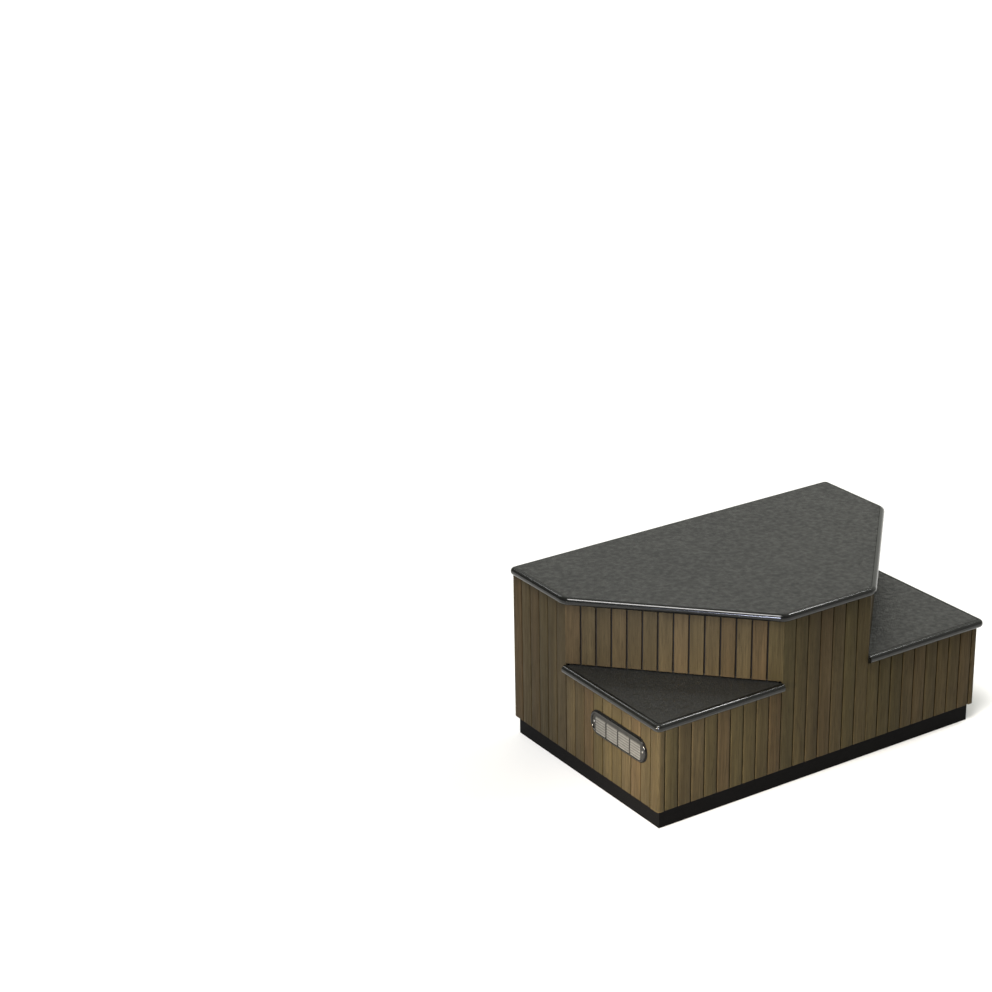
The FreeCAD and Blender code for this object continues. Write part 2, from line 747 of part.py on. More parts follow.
def add_louvres(plate, back, thick):
    """Two long columns of louvres about the middle, and a shorter one next to each screw."""
    inner = cell("louvre_inner")
    space = cell("louvre_space")
    louvre_columns(plate, "Inner", back, thick, space / 2, inner)
    louvre_columns(plate, "Outer", back, thick, space / 2 + inner + space, cell("louvre_outer"))


def louvre_columns(plate, name, back, thick, start, long):
    """A slot with a sloping pressed face over it, repeated up the plate and either side."""
    slot = cell("louvre_slot")
    rows = cell("louvre_rows")
    foot = VENT_CENTRE[1] - (rows - 1) * cell("louvre_row") / 2 - slot / 2
    top = foot + slot
    left = VENT_CENTRE[0] - start - long
    right = left + long
    opening = new_sketch(plate, name + "Slot", "XZ_Plane", back)
    draw_outline(opening, [(left, foot), (right, foot), (right, top), (left, top)])
    cut = add_pocket(plate, opening, thick, name + "Cut")
    lip = new_sketch(plate, name + "Lip", "YZ_Plane", left)
    face = -(back + thick)
    out = face - cell("louvre_out")
    skirt = top - cell("louvre_skirt")
    sheet_thick = cell("louvre_thick")
    draw_outline(lip, [(face, top + sheet_thick), (face, top), (out + sheet_thick, skirt),
                       (out, skirt)])
    hood = add_pad(plate, lip, long, name + "Face")
    pattern = plate.newObject("PartDesign::LinearPattern", name + "Louvres")
    pattern.Originals = [cut, hood]
    pattern.Direction = (own_plane(plate, "X_Axis"), [""])
    pattern.Direction2 = (own_plane(plate, "Z_Axis"), [""])
    pattern.Mode = "Spacing"
    pattern.Mode2 = "Spacing"
    pattern.setExpression("Offset", str(2 * start + long))
    pattern.Occurrences = 2
    pattern.setExpression("Offset2", str(cell("louvre_row")))
    pattern.setExpression("Occurrences2", str(rows))
    plate.Tip = pattern
    document.recompute()


def screw_places():
    return [VENT_CENTRE[0] + side * cell("screw_reach") for side in (-1, 1)]


def outward_rod(label, along, radius, start, length):
    """Round rod square to the left wall, from start inside the slat face outwards."""
    rod = document.addObject("Part::Cylinder", label)
    rod.setExpression("Radius", str(radius))
    rod.setExpression("Height", str(length))
    rod.Placement = FreeCAD.Placement(V(0, 0, 0), FreeCAD.Rotation(V(0, 1, 0), -90))
    rod.setExpression("Placement.Base.x", str(start - SIDE_X))
    rod.setExpression("Placement.Base.y", str(BACK_Y - along))
    rod.setExpression("Placement.Base.z", str(cell("vent_level")))
    return rod


def vent_drill(label):
    """The two screw holes through the gasket and the plate."""
    radius = cell("screw_shank") / 2
    deep = cell("vent_gasket_thick") + cell("vent_plate_thick")
    rods = [outward_rod(f"{label}_{number}", along, radius, deep, 3 * deep)
            for number, along in enumerate(screw_places())]
    holes = document.addObject("Part::MultiFuse", label)
    holes.Shapes = rods
    return holes


def build_vent_screws(plate_face):
    shank = cell("screw_shank") / 2
    head_high = cell("screw_head_high")
    screws = []
    for number, along in enumerate(screw_places()):
        stem = outward_rod(f"vent_stem_{number}", along, shank, cell("screw_long") - plate_face,
                           cell("screw_long"))
        head = outward_rod(f"vent_head_{number}", along, cell("screw_head") / 2, -plate_face,
                           head_high)
        screw = document.addObject("Part::Fuse", f"vent_screw_{number}")
        screw.Base = stem
        screw.Tool = head
        screws.append(screw)
    group("vent_screws", screws)


# ---------------------------------------------------------------- build, check and write

def check_and_export():
    document.recompute()
    for thing in document.Objects:
        if "Invalid" in thing.State or "Error" in thing.State:
            raise RuntimeError(f"{thing.Name} did not build: {thing.State}")
    os.makedirs("parts", exist_ok=True)
    for label, thing in nodes.items():
        shape = thing.Shape
        if shape.isNull() or not shape.isValid():
            raise RuntimeError(f"{label} has no valid shape")
    for label, thing in nodes.items():
        thing.Shape.exportStep(f"parts/{label}.step")
    print(len(nodes), "nodes written")


build_plinth()
build_posts()
build_top_rails()
build_bearers()
build_linings()
build_back_panel()
build_slats()
build_corner_trims()
build_treads()
build_deck()
build_vent()
check_and_export()
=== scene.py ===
import math
import random

import bpy
from mathutils import Matrix, Vector


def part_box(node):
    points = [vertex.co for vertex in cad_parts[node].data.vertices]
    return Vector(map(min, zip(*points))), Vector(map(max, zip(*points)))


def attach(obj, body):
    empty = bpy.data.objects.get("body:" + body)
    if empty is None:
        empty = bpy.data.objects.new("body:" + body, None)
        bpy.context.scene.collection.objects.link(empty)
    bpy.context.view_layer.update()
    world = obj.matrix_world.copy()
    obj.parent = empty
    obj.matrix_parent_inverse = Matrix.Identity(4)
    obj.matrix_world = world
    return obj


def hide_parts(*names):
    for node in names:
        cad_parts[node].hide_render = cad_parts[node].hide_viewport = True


bl_info = {
    "name": "Spa Steps",
    "version": (1, 0, 0),
    "blender": (4, 5, 0),
    "location": "View3D > Sidebar > Spa Steps",
    "description": "Slats, moulded boards, vent and finishes for corner-cut spa steps",
    "category": "Object",
}

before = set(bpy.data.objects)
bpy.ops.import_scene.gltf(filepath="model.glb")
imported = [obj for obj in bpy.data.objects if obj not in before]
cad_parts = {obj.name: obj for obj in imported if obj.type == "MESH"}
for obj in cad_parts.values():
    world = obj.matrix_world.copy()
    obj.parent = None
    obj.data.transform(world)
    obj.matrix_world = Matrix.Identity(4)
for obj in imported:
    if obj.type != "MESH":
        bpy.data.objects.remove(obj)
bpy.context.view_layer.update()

# ---------------- places taken from the frame

DECK_LOW, DECK_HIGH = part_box("deck_board")
MIDDLE_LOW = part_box("slats_front_middle")[0]
TALL_LOW, TALL_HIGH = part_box("slats_tall_left")
FRONT_Y = MIDDLE_LOW.y
SIDE_X = -TALL_LOW.x
BACK_Y = DECK_HIGH.y
OVERHANG = FRONT_Y - DECK_LOW.y
SLAT_THICK = TALL_HIGH.x - TALL_LOW.x

# Corners of the tall walls in plan, from the left back corner round to the right back corner.
BACK_LEFT = Vector((-SIDE_X, BACK_Y))
CORNER_B = Vector((-SIDE_X, TALL_LOW.y))
CORNER_C = Vector((MIDDLE_LOW.x, FRONT_Y))
CORNER_D = Vector((-MIDDLE_LOW.x, FRONT_Y))
CORNER_E = Vector((SIDE_X, TALL_LOW.y))
BACK_RIGHT = Vector((SIDE_X, BACK_Y))
WALLS = [BACK_LEFT, CORNER_B, CORNER_C, CORNER_D, CORNER_E, BACK_RIGHT]
UP = Vector((0, 0, 1))

# ---------------- fixed values, lengths in metres

TOUCH = 1e-5           # two places nearer than this are the same place
RUN_PAST = 0.1         # how far a cutter runs on past what it cuts
SIDE_BAND = 0.0035     # a slat's side and its rounded edge lie within this of each other
LOUVRE_BACK = 0.0023   # behind a louvre's lip, where the painted shade on the vent's steel is darkest
LOUVRE_FRONT = 0.0003  # before a louvre's lip, where the painted shade would have gone
FACING = 0.99          # least cosine between a face's normal and the way it faces
SCREW_COLUMN = 0.05    # a column of the back panel's screws is narrower than this
SCREW_SIDES = 28       # sides of a screw's head
SCREW_ROWS = 4         # screws up each side of the back panel
CROSS_REACH = 0.62     # arm of the cross in a screw, as a share of the head's radius
DOME = 0.75            # round on a domed head, as a share of its height
FLOOR_SIZE = 60        # side of the floor
LAMP_SIZE = 0.4        # side of a low lamp
LAMP_SPREAD = 15.0     # spread of a low lamp's beam, in degrees

# Colours of the woods that the settings leave alone.
SOFTWOOD_PALE = (0.60, 0.43, 0.25)
SOFTWOOD_RING = (0.42, 0.26, 0.12)
SOFTWOOD_STREAK = (0.30, 0.18, 0.09)
SOFTWOOD_KNOT = (0.16, 0.08, 0.035)
SOFTWOOD_WORN = (0.70, 0.55, 0.36)
VENEER_PALE = (0.52, 0.37, 0.21)
VENEER_DARK = (0.40, 0.25, 0.13)
LAYER_PALE = (0.50, 0.35, 0.20)
LAYER_DARK = (0.20, 0.11, 0.055)

# Turns that lay upright grain along X or along Y.
ALONG_X = (0.0, math.pi / 2, 0.0)
ALONG_Y = (math.pi / 2, 0.0, 0.0)


# ---------------- settings

def length(**told):
    """A size that a user may change, told its name, description and default."""
    return bpy.props.FloatProperty(min=0.0, unit="LENGTH", **told)


def strength(**told):
    """Strength or power of a light."""
    return bpy.props.FloatProperty(min=0.0, **told)


def tint(**told):
    """A colour that a user may change."""
    return bpy.props.FloatVectorProperty(subtype="COLOR", size=3, min=0.0, max=1.0, **told)


class SlatSettings(bpy.types.PropertyGroup):
    """Sizes and colours of the slats."""
    gap: length(name="Groove", description="Space between two slats", default=0.004)
    edge: length(
        name="Edge radius", description="Round on the long edges of a slat", default=0.0016)
    uneven: length(
        name="Unevenness", description="How far a slat stands back from its neighbours",
        default=0.00035)
    corner: length(
        name="Trim radius", description="Round on the outer edge of the corner trims",
        default=0.008)
    seed: bpy.props.IntProperty(
        name="Seed", description="Picks the tones of the slats", default=7)
    colour: tint(
        name="Slat colour", description="Middle tone of the slats",
        default=(0.054, 0.0402, 0.0190))


class BoardSettings(bpy.types.PropertyGroup):
    """Sizes and colours of the deck and the treads."""
    nose: length(name="Bullnose", description="Radius of the bullnose", default=0.0108)
    corner: length(
        name="Corner radius", description="Radius of the corners in plan", default=0.016)
    border: length(
        name="Smooth border", description="Smooth strip between bullnose and groove",
        default=0.0012)
    groove: length(
        name="Groove", description="Width of the groove round the textured field",
        default=0.0022)
    sink: length(name="Groove depth", description="Depth of the groove", default=0.0011)
    rim: length(
        name="Underside rim", description="Width of the rim round the recess underneath",
        default=0.025)
    recess: length(
        name="Recess", description="Depth of the recess for the plywood core", default=0.012)
    space: length(
        name="Space", description="Space between a tread and the tall walls", default=0.0005)
    tongue: length(
        name="Tongue", description="How far a tread runs on under the riser's slats",
        default=0.009)
    tongue_end: length(
        name="Tongue end", description="Tongue short of the wall corners", default=0.010)
    colour: tint(
        name="Board colour", description="Charcoal of the boards",
        default=(0.0105, 0.0108, 0.0092))


class ScrewSettings(bpy.types.PropertyGroup):
    """Sizes of the screws."""
    head: length(name="Head height", description="Height of a domed head", default=0.002)
    shank: length(name="Shank radius", description="Radius under the head", default=0.0018)
    slot: length(
        name="Slot width", description="Width of the cross in the head", default=0.0009)
    deep: length(
        name="Slot depth", description="Depth of the cross in the head", default=0.0013)


class StageSettings(bpy.types.PropertyGroup):
    """Camera and light."""
    lens: bpy.props.FloatProperty(
        name="Lens", description="Focal length", default=82.28, min=1.0, unit="CAMERA")
    key: strength(
        name="Key light", description="Strength of the big soft daylight", default=1.7)
    side: strength(
        name="Side light", description="Power of the low warm light on the left", default=1.8,
        unit="POWER")
    shine: strength(
        name="Edge lights", description="Strength of the small suns that line the bullnoses",
        default=0.65)
    fill: strength(
        name="Sky light", description="Brightness of the studio's walls", default=0.43)
    floor: tint(
        name="Floor colour", description="Colour of the floor", default=(0.86, 0.86, 0.855))


# ---------------- small helpers

def start_clean():
    """Leave edit mode with nothing selected, because an operator acts on all that is."""
    if bpy.context.object and bpy.context.object.mode != "OBJECT":
        bpy.ops.object.mode_set(mode="OBJECT")
    bpy.ops.object.select_all(action="DESELECT")


def add_block(name, low, high):
    """A box between two corners, its place in its mesh, left active in object mode."""
    start_clean()
    low, high = Vector(low), Vector(high)
    bpy.ops.mesh.primitive_cube_add(size=1, location=(low + high) / 2)
    block = bpy.context.object
    block.name = name
    block.scale = high - low
    bpy.ops.object.transform_apply(location=True, rotation=True, scale=True)
    return block


def select_only(piece, kind, test):
    """In edit mode, select the edges or faces of a piece that pass a test."""
    bpy.ops.mesh.select_mode(type="VERT")
    bpy.ops.mesh.select_all(action="DESELECT")
    bpy.ops.mesh.select_mode(type="EDGE" if kind == "edges" else "FACE")
    bpy.ops.object.mode_set(mode="OBJECT")
    found = 0
    for item in getattr(piece.data, "polygons" if kind == "faces" else "edges"):
        item.select = bool(test(item))
        found += item.select
    bpy.ops.object.mode_set(mode="EDIT")
    return found


def edge_ends(piece, edge):
    """Places of an edge's two points."""
    return [piece.data.vertices[index].co for index in edge.vertices]


def cut_away(point, normal, fill=True):
    """Cut the whole active mesh by a plane and drop what lies on the normal's side."""
    bpy.ops.mesh.select_all(action="SELECT")
    bpy.ops.mesh.bisect(plane_co=point, plane_no=normal, use_fill=fill, clear_outer=True)


def draw_out(x, y, z):
    """Extrude the selected faces and move them."""
    bpy.ops.mesh.extrude_region_move(TRANSFORM_OT_translate={"value": (x, y, z)})


def finish_mesh(piece, angle):
    """Out of edit mode with its doubles merged, faces pointing out and smooth curves."""
    bpy.ops.object.mode_set(mode="EDIT")
    bpy.ops.mesh.select_all(action="SELECT")
    bpy.ops.mesh.remove_doubles(threshold=TOUCH)
    bpy.ops.mesh.normals_make_consistent(inside=False)
    bpy.ops.object.mode_set(mode="OBJECT")
    bpy.ops.object.shade_smooth_by_angle(angle=math.radians(angle))
    return piece


def join_all(pieces, name):
    """Join pieces into one object of a given name."""
    start_clean()
    for piece in pieces:
        piece.select_set(True)
    bpy.context.view_layer.objects.active = pieces[0]
    if len(pieces) > 1:
        bpy.ops.object.join()
    joined = bpy.context.object
    joined.name = name
    joined.data.name = name
    return joined


def copy_at(template, matrix):
    """A copy of a piece with a mesh of its own, moved by a matrix."""
    twin = template.copy()
    twin.data = template.data.copy()
    bpy.context.scene.collection.objects.link(twin)
    twin.data.transform(matrix)
    return twin


def give_tone(piece, value):
    """Write the number that picks a slat's tone and shifts its grain on all its points."""
    seed = piece.data.attributes.new("slat_seed", "FLOAT", "POINT")
    seed.data.foreach_set("value", [value] * len(piece.data.vertices))


def carve(piece, cutter):
    """Cut one piece out of another and throw the cutter away."""
    hollow = piece.modifiers.new("Hollow", "BOOLEAN")
    hollow.operation = "DIFFERENCE"
    hollow.object = cutter
    start_clean()
    piece.select_set(True)
    bpy.context.view_layer.objects.active = piece
    bpy.ops.object.modifier_apply(modifier="Hollow")
    bpy.data.objects.remove(cutter)


def flat(direction):
    """A plan direction as a level one in space, of length one."""
    return Vector((direction.x, direction.y, 0)).normalized()


def inward(start, end):
    """Direction into the cabinet from a wall that runs from start to end."""
    along = (end - start).normalized()
    return Vector((-along.y, along.x))


# ---------------- shader building

def plug(tree, value, target):
    """Link a socket to a shader's input, or set a plain value on it."""
    if isinstance(value, bpy.types.NodeSocket):
        tree.links.new(value, target)
    else:
        target.default_value = value


def add_node(tree, kind, values=None, **settings):
    """Add a shader node with its settings; values fill its inputs, by name or number."""
    node = tree.nodes.new("ShaderNode" + kind)
    for key, setting in settings.items():
        setattr(node, key, setting)
    for label, value in (values or {}).items():
        plug(tree, value, node.inputs[label])
    return node


def mix_colour(tree, amount, first, second, blend="MIX"):
    return add_node(tree, "Mix", {0: amount, 6: first, 7: second}, data_type="RGBA",
                    blend_type=blend).outputs[2]


def remap(tree, value, low, high, to_low=0.0, to_high=1.0):
    """Spread a value's range from low to high over another range, held at its ends."""
    return add_node(tree, "MapRange", {"Value": value, "From Min": low, "From Max": high,
                                       "To Min": to_low, "To Max": to_high},
                    clamp=True).outputs["Result"]


def calc(tree, operation, first, second=0.0):
    return add_node(tree, "Math", {0: first, 1: second}, operation=operation).outputs[0]


def times(tree, first, second):
    return calc(tree, "MULTIPLY", first, second)


def combine(tree, operation, first, second, output=0):
    """Work on two vectors."""
    return add_node(tree, "VectorMath", {0: first, 1: second},
                    operation=operation).outputs[output]


def noise(tree, place, scale, detail=2.0, rough=0.5, twist=0.0):
    """Soft noise between 0 and 1."""
    return add_node(tree, "TexNoise", {"Vector": place, "Scale": scale, "Detail": detail,
                                       "Roughness": rough, "Distortion": twist}).outputs[0]


def object_place(tree):
    return add_node(tree, "TexCoord").outputs["Object"]


def turn_place(tree, place, turn=(0.0, 0.0, 0.0), scale=(1.0, 1.0, 1.0)):
    return add_node(tree, "Mapping", {"Vector": place, "Rotation": turn,
                                      "Scale": scale}).outputs[0]


def part_of(tree, vector, axis):
    return add_node(tree, "SeparateXYZ", {0: vector}).outputs[axis]


def rgb(colour, factor=1.0):
    return (colour[0] * factor, colour[1] * factor, colour[2] * factor, 1.0)


def new_group(name, inputs, outputs):
    """Node group of float sockets; an input with no default takes a vector."""
    tree = bpy.data.node_groups.new(name, "ShaderNodeTree")
    for label, default in inputs.items():
        kind = "NodeSocketVector" if default is None else "NodeSocketFloat"
        socket = tree.interface.new_socket(name=label, in_out="INPUT", socket_type=kind)
        if default is not None:
            socket.default_value = default
    for label in outputs:
        tree.interface.new_socket(name=label, in_out="OUTPUT", socket_type="NodeSocketFloat")
    return tree, tree.nodes.new("NodeGroupInput"), tree.nodes.new("NodeGroupOutput")


def use_group(tree, name, **values):
    """Place a shared node group, its inputs set by their names."""
    return add_node(tree, "Group", values, node_tree=bpy.data.node_groups[name])


def grain_group():
    """Wood grain along Z: soft bands, fine streaks and short dark pores."""
    tree, ends, out = new_group(
        "Wood grain", {"Vector": None, "Seed": 0.0, "Stretch": 14.0, "Scale": 60.0},
        ("Bands", "Streaks", "Pores", "Height"))
    seed, size = ends.outputs["Seed"], ends.outputs["Scale"]
    shift = add_node(tree, "CombineXYZ", {"X": seed, "Y": seed, "Z": seed})
    shrink = calc(tree, "DIVIDE", 1.0, ends.outputs["Stretch"])
    squash = add_node(tree, "CombineXYZ", {"X": 1.0, "Y": 1.0, "Z": shrink})
    pressed = combine(tree, "MULTIPLY", ends.outputs["Vector"], squash.outputs[0])
    moved = combine(tree, "ADD", pressed, shift.outputs[0])
    bands = noise(tree, moved, size, 3.0, 0.55, 0.4)
    fine = noise(tree, moved, times(tree, size, 7.0), 4.0, 0.6)
    pores = remap(tree, noise(tree, moved, times(tree, size, 16.0), 1.0), 0.60, 0.72)
    height = calc(tree, "SUBTRACT", times(tree, fine, 0.8), times(tree, pores, 0.5))
    for label, value in (("Bands", bands), ("Streaks", fine), ("Pores", pores),
                         ("Height", height)):
        tree.links.new(value, out.inputs[label])


def edge_group():
    """Mask of the outside edges, where handling rubs the finish; on the corner trims and the vent
    rim it also carries a painted highlight.
    """
    tree, ends, out = new_group("Edge wear", {"Radius": 0.002, "Breakup": 40.0}, ("Edge",))
    bevel = add_node(tree, "Bevel", {"Radius": ends.outputs["Radius"]}, samples=4).outputs[0]
    true_normal = add_node(tree, "NewGeometry").outputs["Normal"]
    edge = remap(tree, combine(tree, "DOT_PRODUCT", bevel, true_normal, "Value"), 0.995, 0.86)
    patch = remap(tree, noise(tree, object_place(tree), ends.outputs["Breakup"], 3.0),
                  0.35, 0.65)
    tree.links.new(times(tree, edge, patch), out.inputs["Edge"])


def dust_group():
    """Mask of the fine dust that settles on faces turned upwards and in patches."""
    tree, ends, out = new_group("Dust", {"Amount": 0.3, "Scale": 9.0}, ("Dust",))
    upward = part_of(tree, add_node(tree, "NewGeometry").outputs["Normal"], "Z")
    patch = noise(tree, object_place(tree), ends.outputs["Scale"], 5.0, 0.62)
    cloud = times(tree, remap(tree, patch, 0.38, 0.72), remap(tree, upward, 0.2, 0.9, 0.25, 1.0))
    tree.links.new(times(tree, cloud, ends.outputs["Amount"]), out.inputs["Dust"])


def rub_and_highlight_edges(tree, base, edge_colour, amount, radius, breakup):
    """Let a paler colour through along the edges: rubbed wear, and on the corner trims and the vent
    rim a painted highlight.
    """
    wear = use_group(tree, "Edge wear", Radius=radius, Breakup=breakup)
    return mix_colour(tree, times(tree, wear.outputs["Edge"], amount), base, edge_colour)


def lay_dust(tree, base, pale, amount, scale):
    """Cover a colour with patches of dust."""
    dust = use_group(tree, "Dust", Amount=amount, Scale=scale)
    return mix_colour(tree, dust.outputs["Dust"], base, pale)


def new_material(name):
    """Material with an empty surface; returns it, its tree, its shader and Object coordinates."""
    material = bpy.data.materials.new(name)
    material.use_nodes = True
    tree = material.node_tree
    return material, tree, tree.nodes["Principled BSDF"], object_place(tree)


def bump(tree, shader, height, distance, strength=1.0):
    node = add_node(tree, "Bump", {"Strength": strength, "Distance": distance,
                                   "Height": height})
    tree.links.new(node.outputs[0], shader.inputs["Normal"])


def feed(tree, shader, **values):
    """Link sockets or set values on the shader, by socket names with _ for a space."""
    for label, value in values.items():
        plug(tree, value, shader.inputs[label.replace("_", " ")])


# ---------------- materials

def slat_material(name, colour, wear_and_highlight_reach, wear_and_highlight_amount):
    """Wood-effect slats: each slat its own tone, fine upright grain, worn pale edges; on the trims
    the pale edges are wide and strong, a painted highlight on the corner round.
    """
    material, tree, shader, place = new_material(name)
    seed = add_node(tree, "Attribute", attribute_name="slat_seed").outputs["Fac"]
    grain = use_group(tree, "Wood grain", Vector=place, Stretch=22.0, Scale=38.0,
                      Seed=times(tree, seed, 37.0)).outputs
    tone = add_node(tree, "TexWhiteNoise", {"W": times(tree, seed, 91.7)},
                    noise_dimensions="1D").outputs["Color"]
    tones = add_node(tree, "SeparateColor", {0: tone}).outputs
    base = mix_colour(tree, tones[0], rgb(colour, 0.84), rgb(colour, 1.16))
    reddish = (colour[0] * 1.22, colour[1] * 0.96, colour[2] * 0.96, 1.0)
    greenish = (colour[0] * 0.90, colour[1] * 1.0, colour[2] * 0.80, 1.0)
    base = mix_colour(tree, remap(tree, tones[1], 0.55, 1.0, 0.0, 0.55), base, reddish)
    base = mix_colour(tree, remap(tree, tones[2], 0.6, 1.0, 0.0, 0.6), base, greenish)
    bands = remap(tree, grain["Bands"], 0.3, 0.7, 0.76, 1.24)
    shade = add_node(tree, "CombineColor", {0: bands, 1: bands, 2: bands}).outputs[0]
    base = mix_colour(tree, 1.0, base, shade, "MULTIPLY")
    streak = remap(tree, grain["Streaks"], 0.34, 0.66)
    base = mix_colour(tree, times(tree, streak, 0.55), base, rgb(colour, 0.50))
    base = mix_colour(tree, times(tree, grain["Pores"], 0.6), base, rgb(colour, 0.30))
    # Pale edges: wear, and on the trims a painted highlight on the rounded corner.
    base = rub_and_highlight_edges(tree, base, rgb(colour, 2.2), wear_and_highlight_amount, wear_and_highlight_reach, 55.0)
    base = lay_dust(tree, base, rgb(colour, 2.2), 0.22, 6.0)
    rough = remap(tree, grain["Streaks"], 0.3, 0.7, 0.52, 0.70)
    feed(tree, shader, Base_Color=base, Roughness=rough, Specular_IOR_Level=0.08)
    bump(tree, shader, grain["Height"], 0.0004, 0.55)
    return material


def board_field_material(colour):
    """Textured field of the deck and treads: a fine pebble grain with a satin skin."""
    material, tree, shader, place = new_material("board_pebble")
    warp = add_node(tree, "TexNoise", {"Vector": place, "Scale": 190.0, "Detail": 1.0})
    bent = add_node(tree, "VectorMath", {0: warp.outputs["Color"], "Scale": 0.0016},
                    operation="SCALE").outputs[0]
    cells = add_node(tree, "TexVoronoi", {"Vector": combine(tree, "ADD", place, bent),
                                          "Scale": 330.0, "Smoothness": 0.55},
                     feature="SMOOTH_F1").outputs["Distance"]
    crown = remap(tree, cells, 0.5, 0.12)
    fine = noise(tree, place, 700.0)
    cloud = noise(tree, place, 16.0, 6.0, 0.62)
    mottle = noise(tree, place, 70.0, 4.0, 0.6)
    base = mix_colour(tree, remap(tree, cloud, 0.3, 0.7), rgb(colour, 0.75), rgb(colour, 1.25))
    base = mix_colour(tree, remap(tree, mottle, 0.38, 0.62, 0.0, 0.85), base, rgb(colour, 0.40))
    base = mix_colour(tree, times(tree, crown, 0.5), base, rgb(colour, 2.2))
    base = lay_dust(tree, base, rgb(colour, 4.0), 0.11, 5.0)
    feed(tree, shader, Base_Color=base, Roughness=remap(tree, mottle, 0.35, 0.65, 0.34, 0.60))
    grain = calc(tree, "ADD", times(tree, crown, 0.7), times(tree, fine, 0.3))
    bump(tree, shader, calc(tree, "ADD", grain, times(tree, mottle, 2.0)), 0.0010)
    return material


def board_nose_material(colour):
    """Smooth bullnose of the boards: the same charcoal, polished, with faint scuffs."""
    material, tree, shader, place = new_material("board_gloss")
    scuffs = noise(tree, place, 130.0, 5.0, 0.7)
    base = mix_colour(tree, remap(tree, scuffs, 0.4, 0.75, 0.0, 0.4), rgb(colour, 0.35),
                      rgb(colour, 1.1))
    base = rub_and_highlight_edges(tree, base, rgb(colour, 3.0), 0.15, 0.003, 30.0)
    feed(tree, shader, Base_Color=base, Roughness=remap(tree, scuffs, 0.35, 0.75, 0.12, 0.22),
         Specular_IOR_Level=0.40)
    bump(tree, shader, noise(tree, place, 24.0, 1.0), 0.0006, 0.25)
    return material


def painted_material(name, colour, rough, shine=0.18, grain_scale=70.0, relief=0.0002):
    """Dark paint or facing over timber or board, its grain faintly telegraphed through."""
    material, tree, shader, place = new_material(name)
    grain = use_group(tree, "Wood grain", Vector=turn_place(tree, place, ALONG_X),
                      Stretch=16.0, Scale=grain_scale).outputs
    base = mix_colour(tree, grain["Bands"], rgb(colour, 0.7), rgb(colour, 1.4))
    base = rub_and_highlight_edges(tree, base, rgb(colour, 4.0), 0.4, 0.002, 35.0)
    base = lay_dust(tree, base, rgb(colour, 5.0), 0.15, 8.0)
    feed(tree, shader, Base_Color=base, Specular_IOR_Level=shine,
         Roughness=remap(tree, grain["Streaks"], 0.3, 0.7, rough - 0.08, rough + 0.08))
    bump(tree, shader, grain["Height"], relief, 0.6)
    return material


def softwood_material(name, turn):
    """Planed softwood framing with its grain along one direction."""
    material, tree, shader, place = new_material(name)
    turned = turn_place(tree, place, turn)
    grain = use_group(tree, "Wood grain", Vector=turned, Stretch=12.0, Scale=45.0).outputs
    base = mix_colour(tree, remap(tree, grain["Bands"], 0.42, 0.60), rgb(SOFTWOOD_PALE),
                      rgb(SOFTWOOD_RING))
    base = mix_colour(tree, remap(tree, grain["Streaks"], 0.35, 0.7, 0.0, 0.35), base,
                      rgb(SOFTWOOD_STREAK))
    knots = add_node(tree, "TexVoronoi", {"Vector": turned, "Scale": 7.0},
                     feature="F1").outputs["Distance"]
    base = mix_colour(tree, remap(tree, knots, 0.09, 0.03, 0.0, 0.7), base,
                      rgb(SOFTWOOD_KNOT))
    base = rub_and_highlight_edges(tree, base, rgb(SOFTWOOD_WORN), 0.3, 0.002, 30.0)
    feed(tree, shader, Base_Color=base,
         Roughness=remap(tree, grain["Streaks"], 0.3, 0.7, 0.55, 0.72))
    bump(tree, shader, grain["Height"], 0.0003, 0.6)
    return material


def plywood_material():
    """Exterior plywood: pale veneer on the faces, glued layers on the edges."""
    material, tree, shader, place = new_material("plywood")
    grain = use_group(tree, "Wood grain", Vector=turn_place(tree, place, ALONG_X),
                      Stretch=9.0, Scale=14.0).outputs
    face = mix_colour(tree, remap(tree, grain["Bands"], 0.35, 0.65),
                      rgb(VENEER_PALE), rgb(VENEER_DARK))
    layer = calc(tree, "FRACT", times(tree, part_of(tree, place, "Z"), 250.0))
    stripes = mix_colour(tree, remap(tree, layer, 0.42, 0.58), rgb(LAYER_PALE),
                         rgb(LAYER_DARK))
    normal = add_node(tree, "NewGeometry").outputs["Normal"]
    upright = calc(tree, "ABSOLUTE", part_of(tree, normal, "Z"))
    base = mix_colour(tree, remap(tree, upright, 0.3, 0.6), stripes, face)
    feed(tree, shader, Base_Color=base,
         Roughness=remap(tree, grain["Streaks"], 0.3, 0.7, 0.6, 0.78))
    bump(tree, shader, grain["Height"], 0.0002, 0.5)
    return material


def rubber_material(name, colour):
    """Matt moulded rubber with a little dust in its texture."""
    material, tree, shader, place = new_material(name)
    fine = noise(tree, place, 900.0, 3.0)
    base = lay_dust(tree, rgb(colour), rgb(colour, 3.0), 0.2, 60.0)
    feed(tree, shader, Base_Color=base, Roughness=remap(tree, fine, 0.3, 0.7, 0.62, 0.82),
         Specular_IOR_Level=0.1)
    bump(tree, shader, fine, 0.0002, 0.5)
    return material


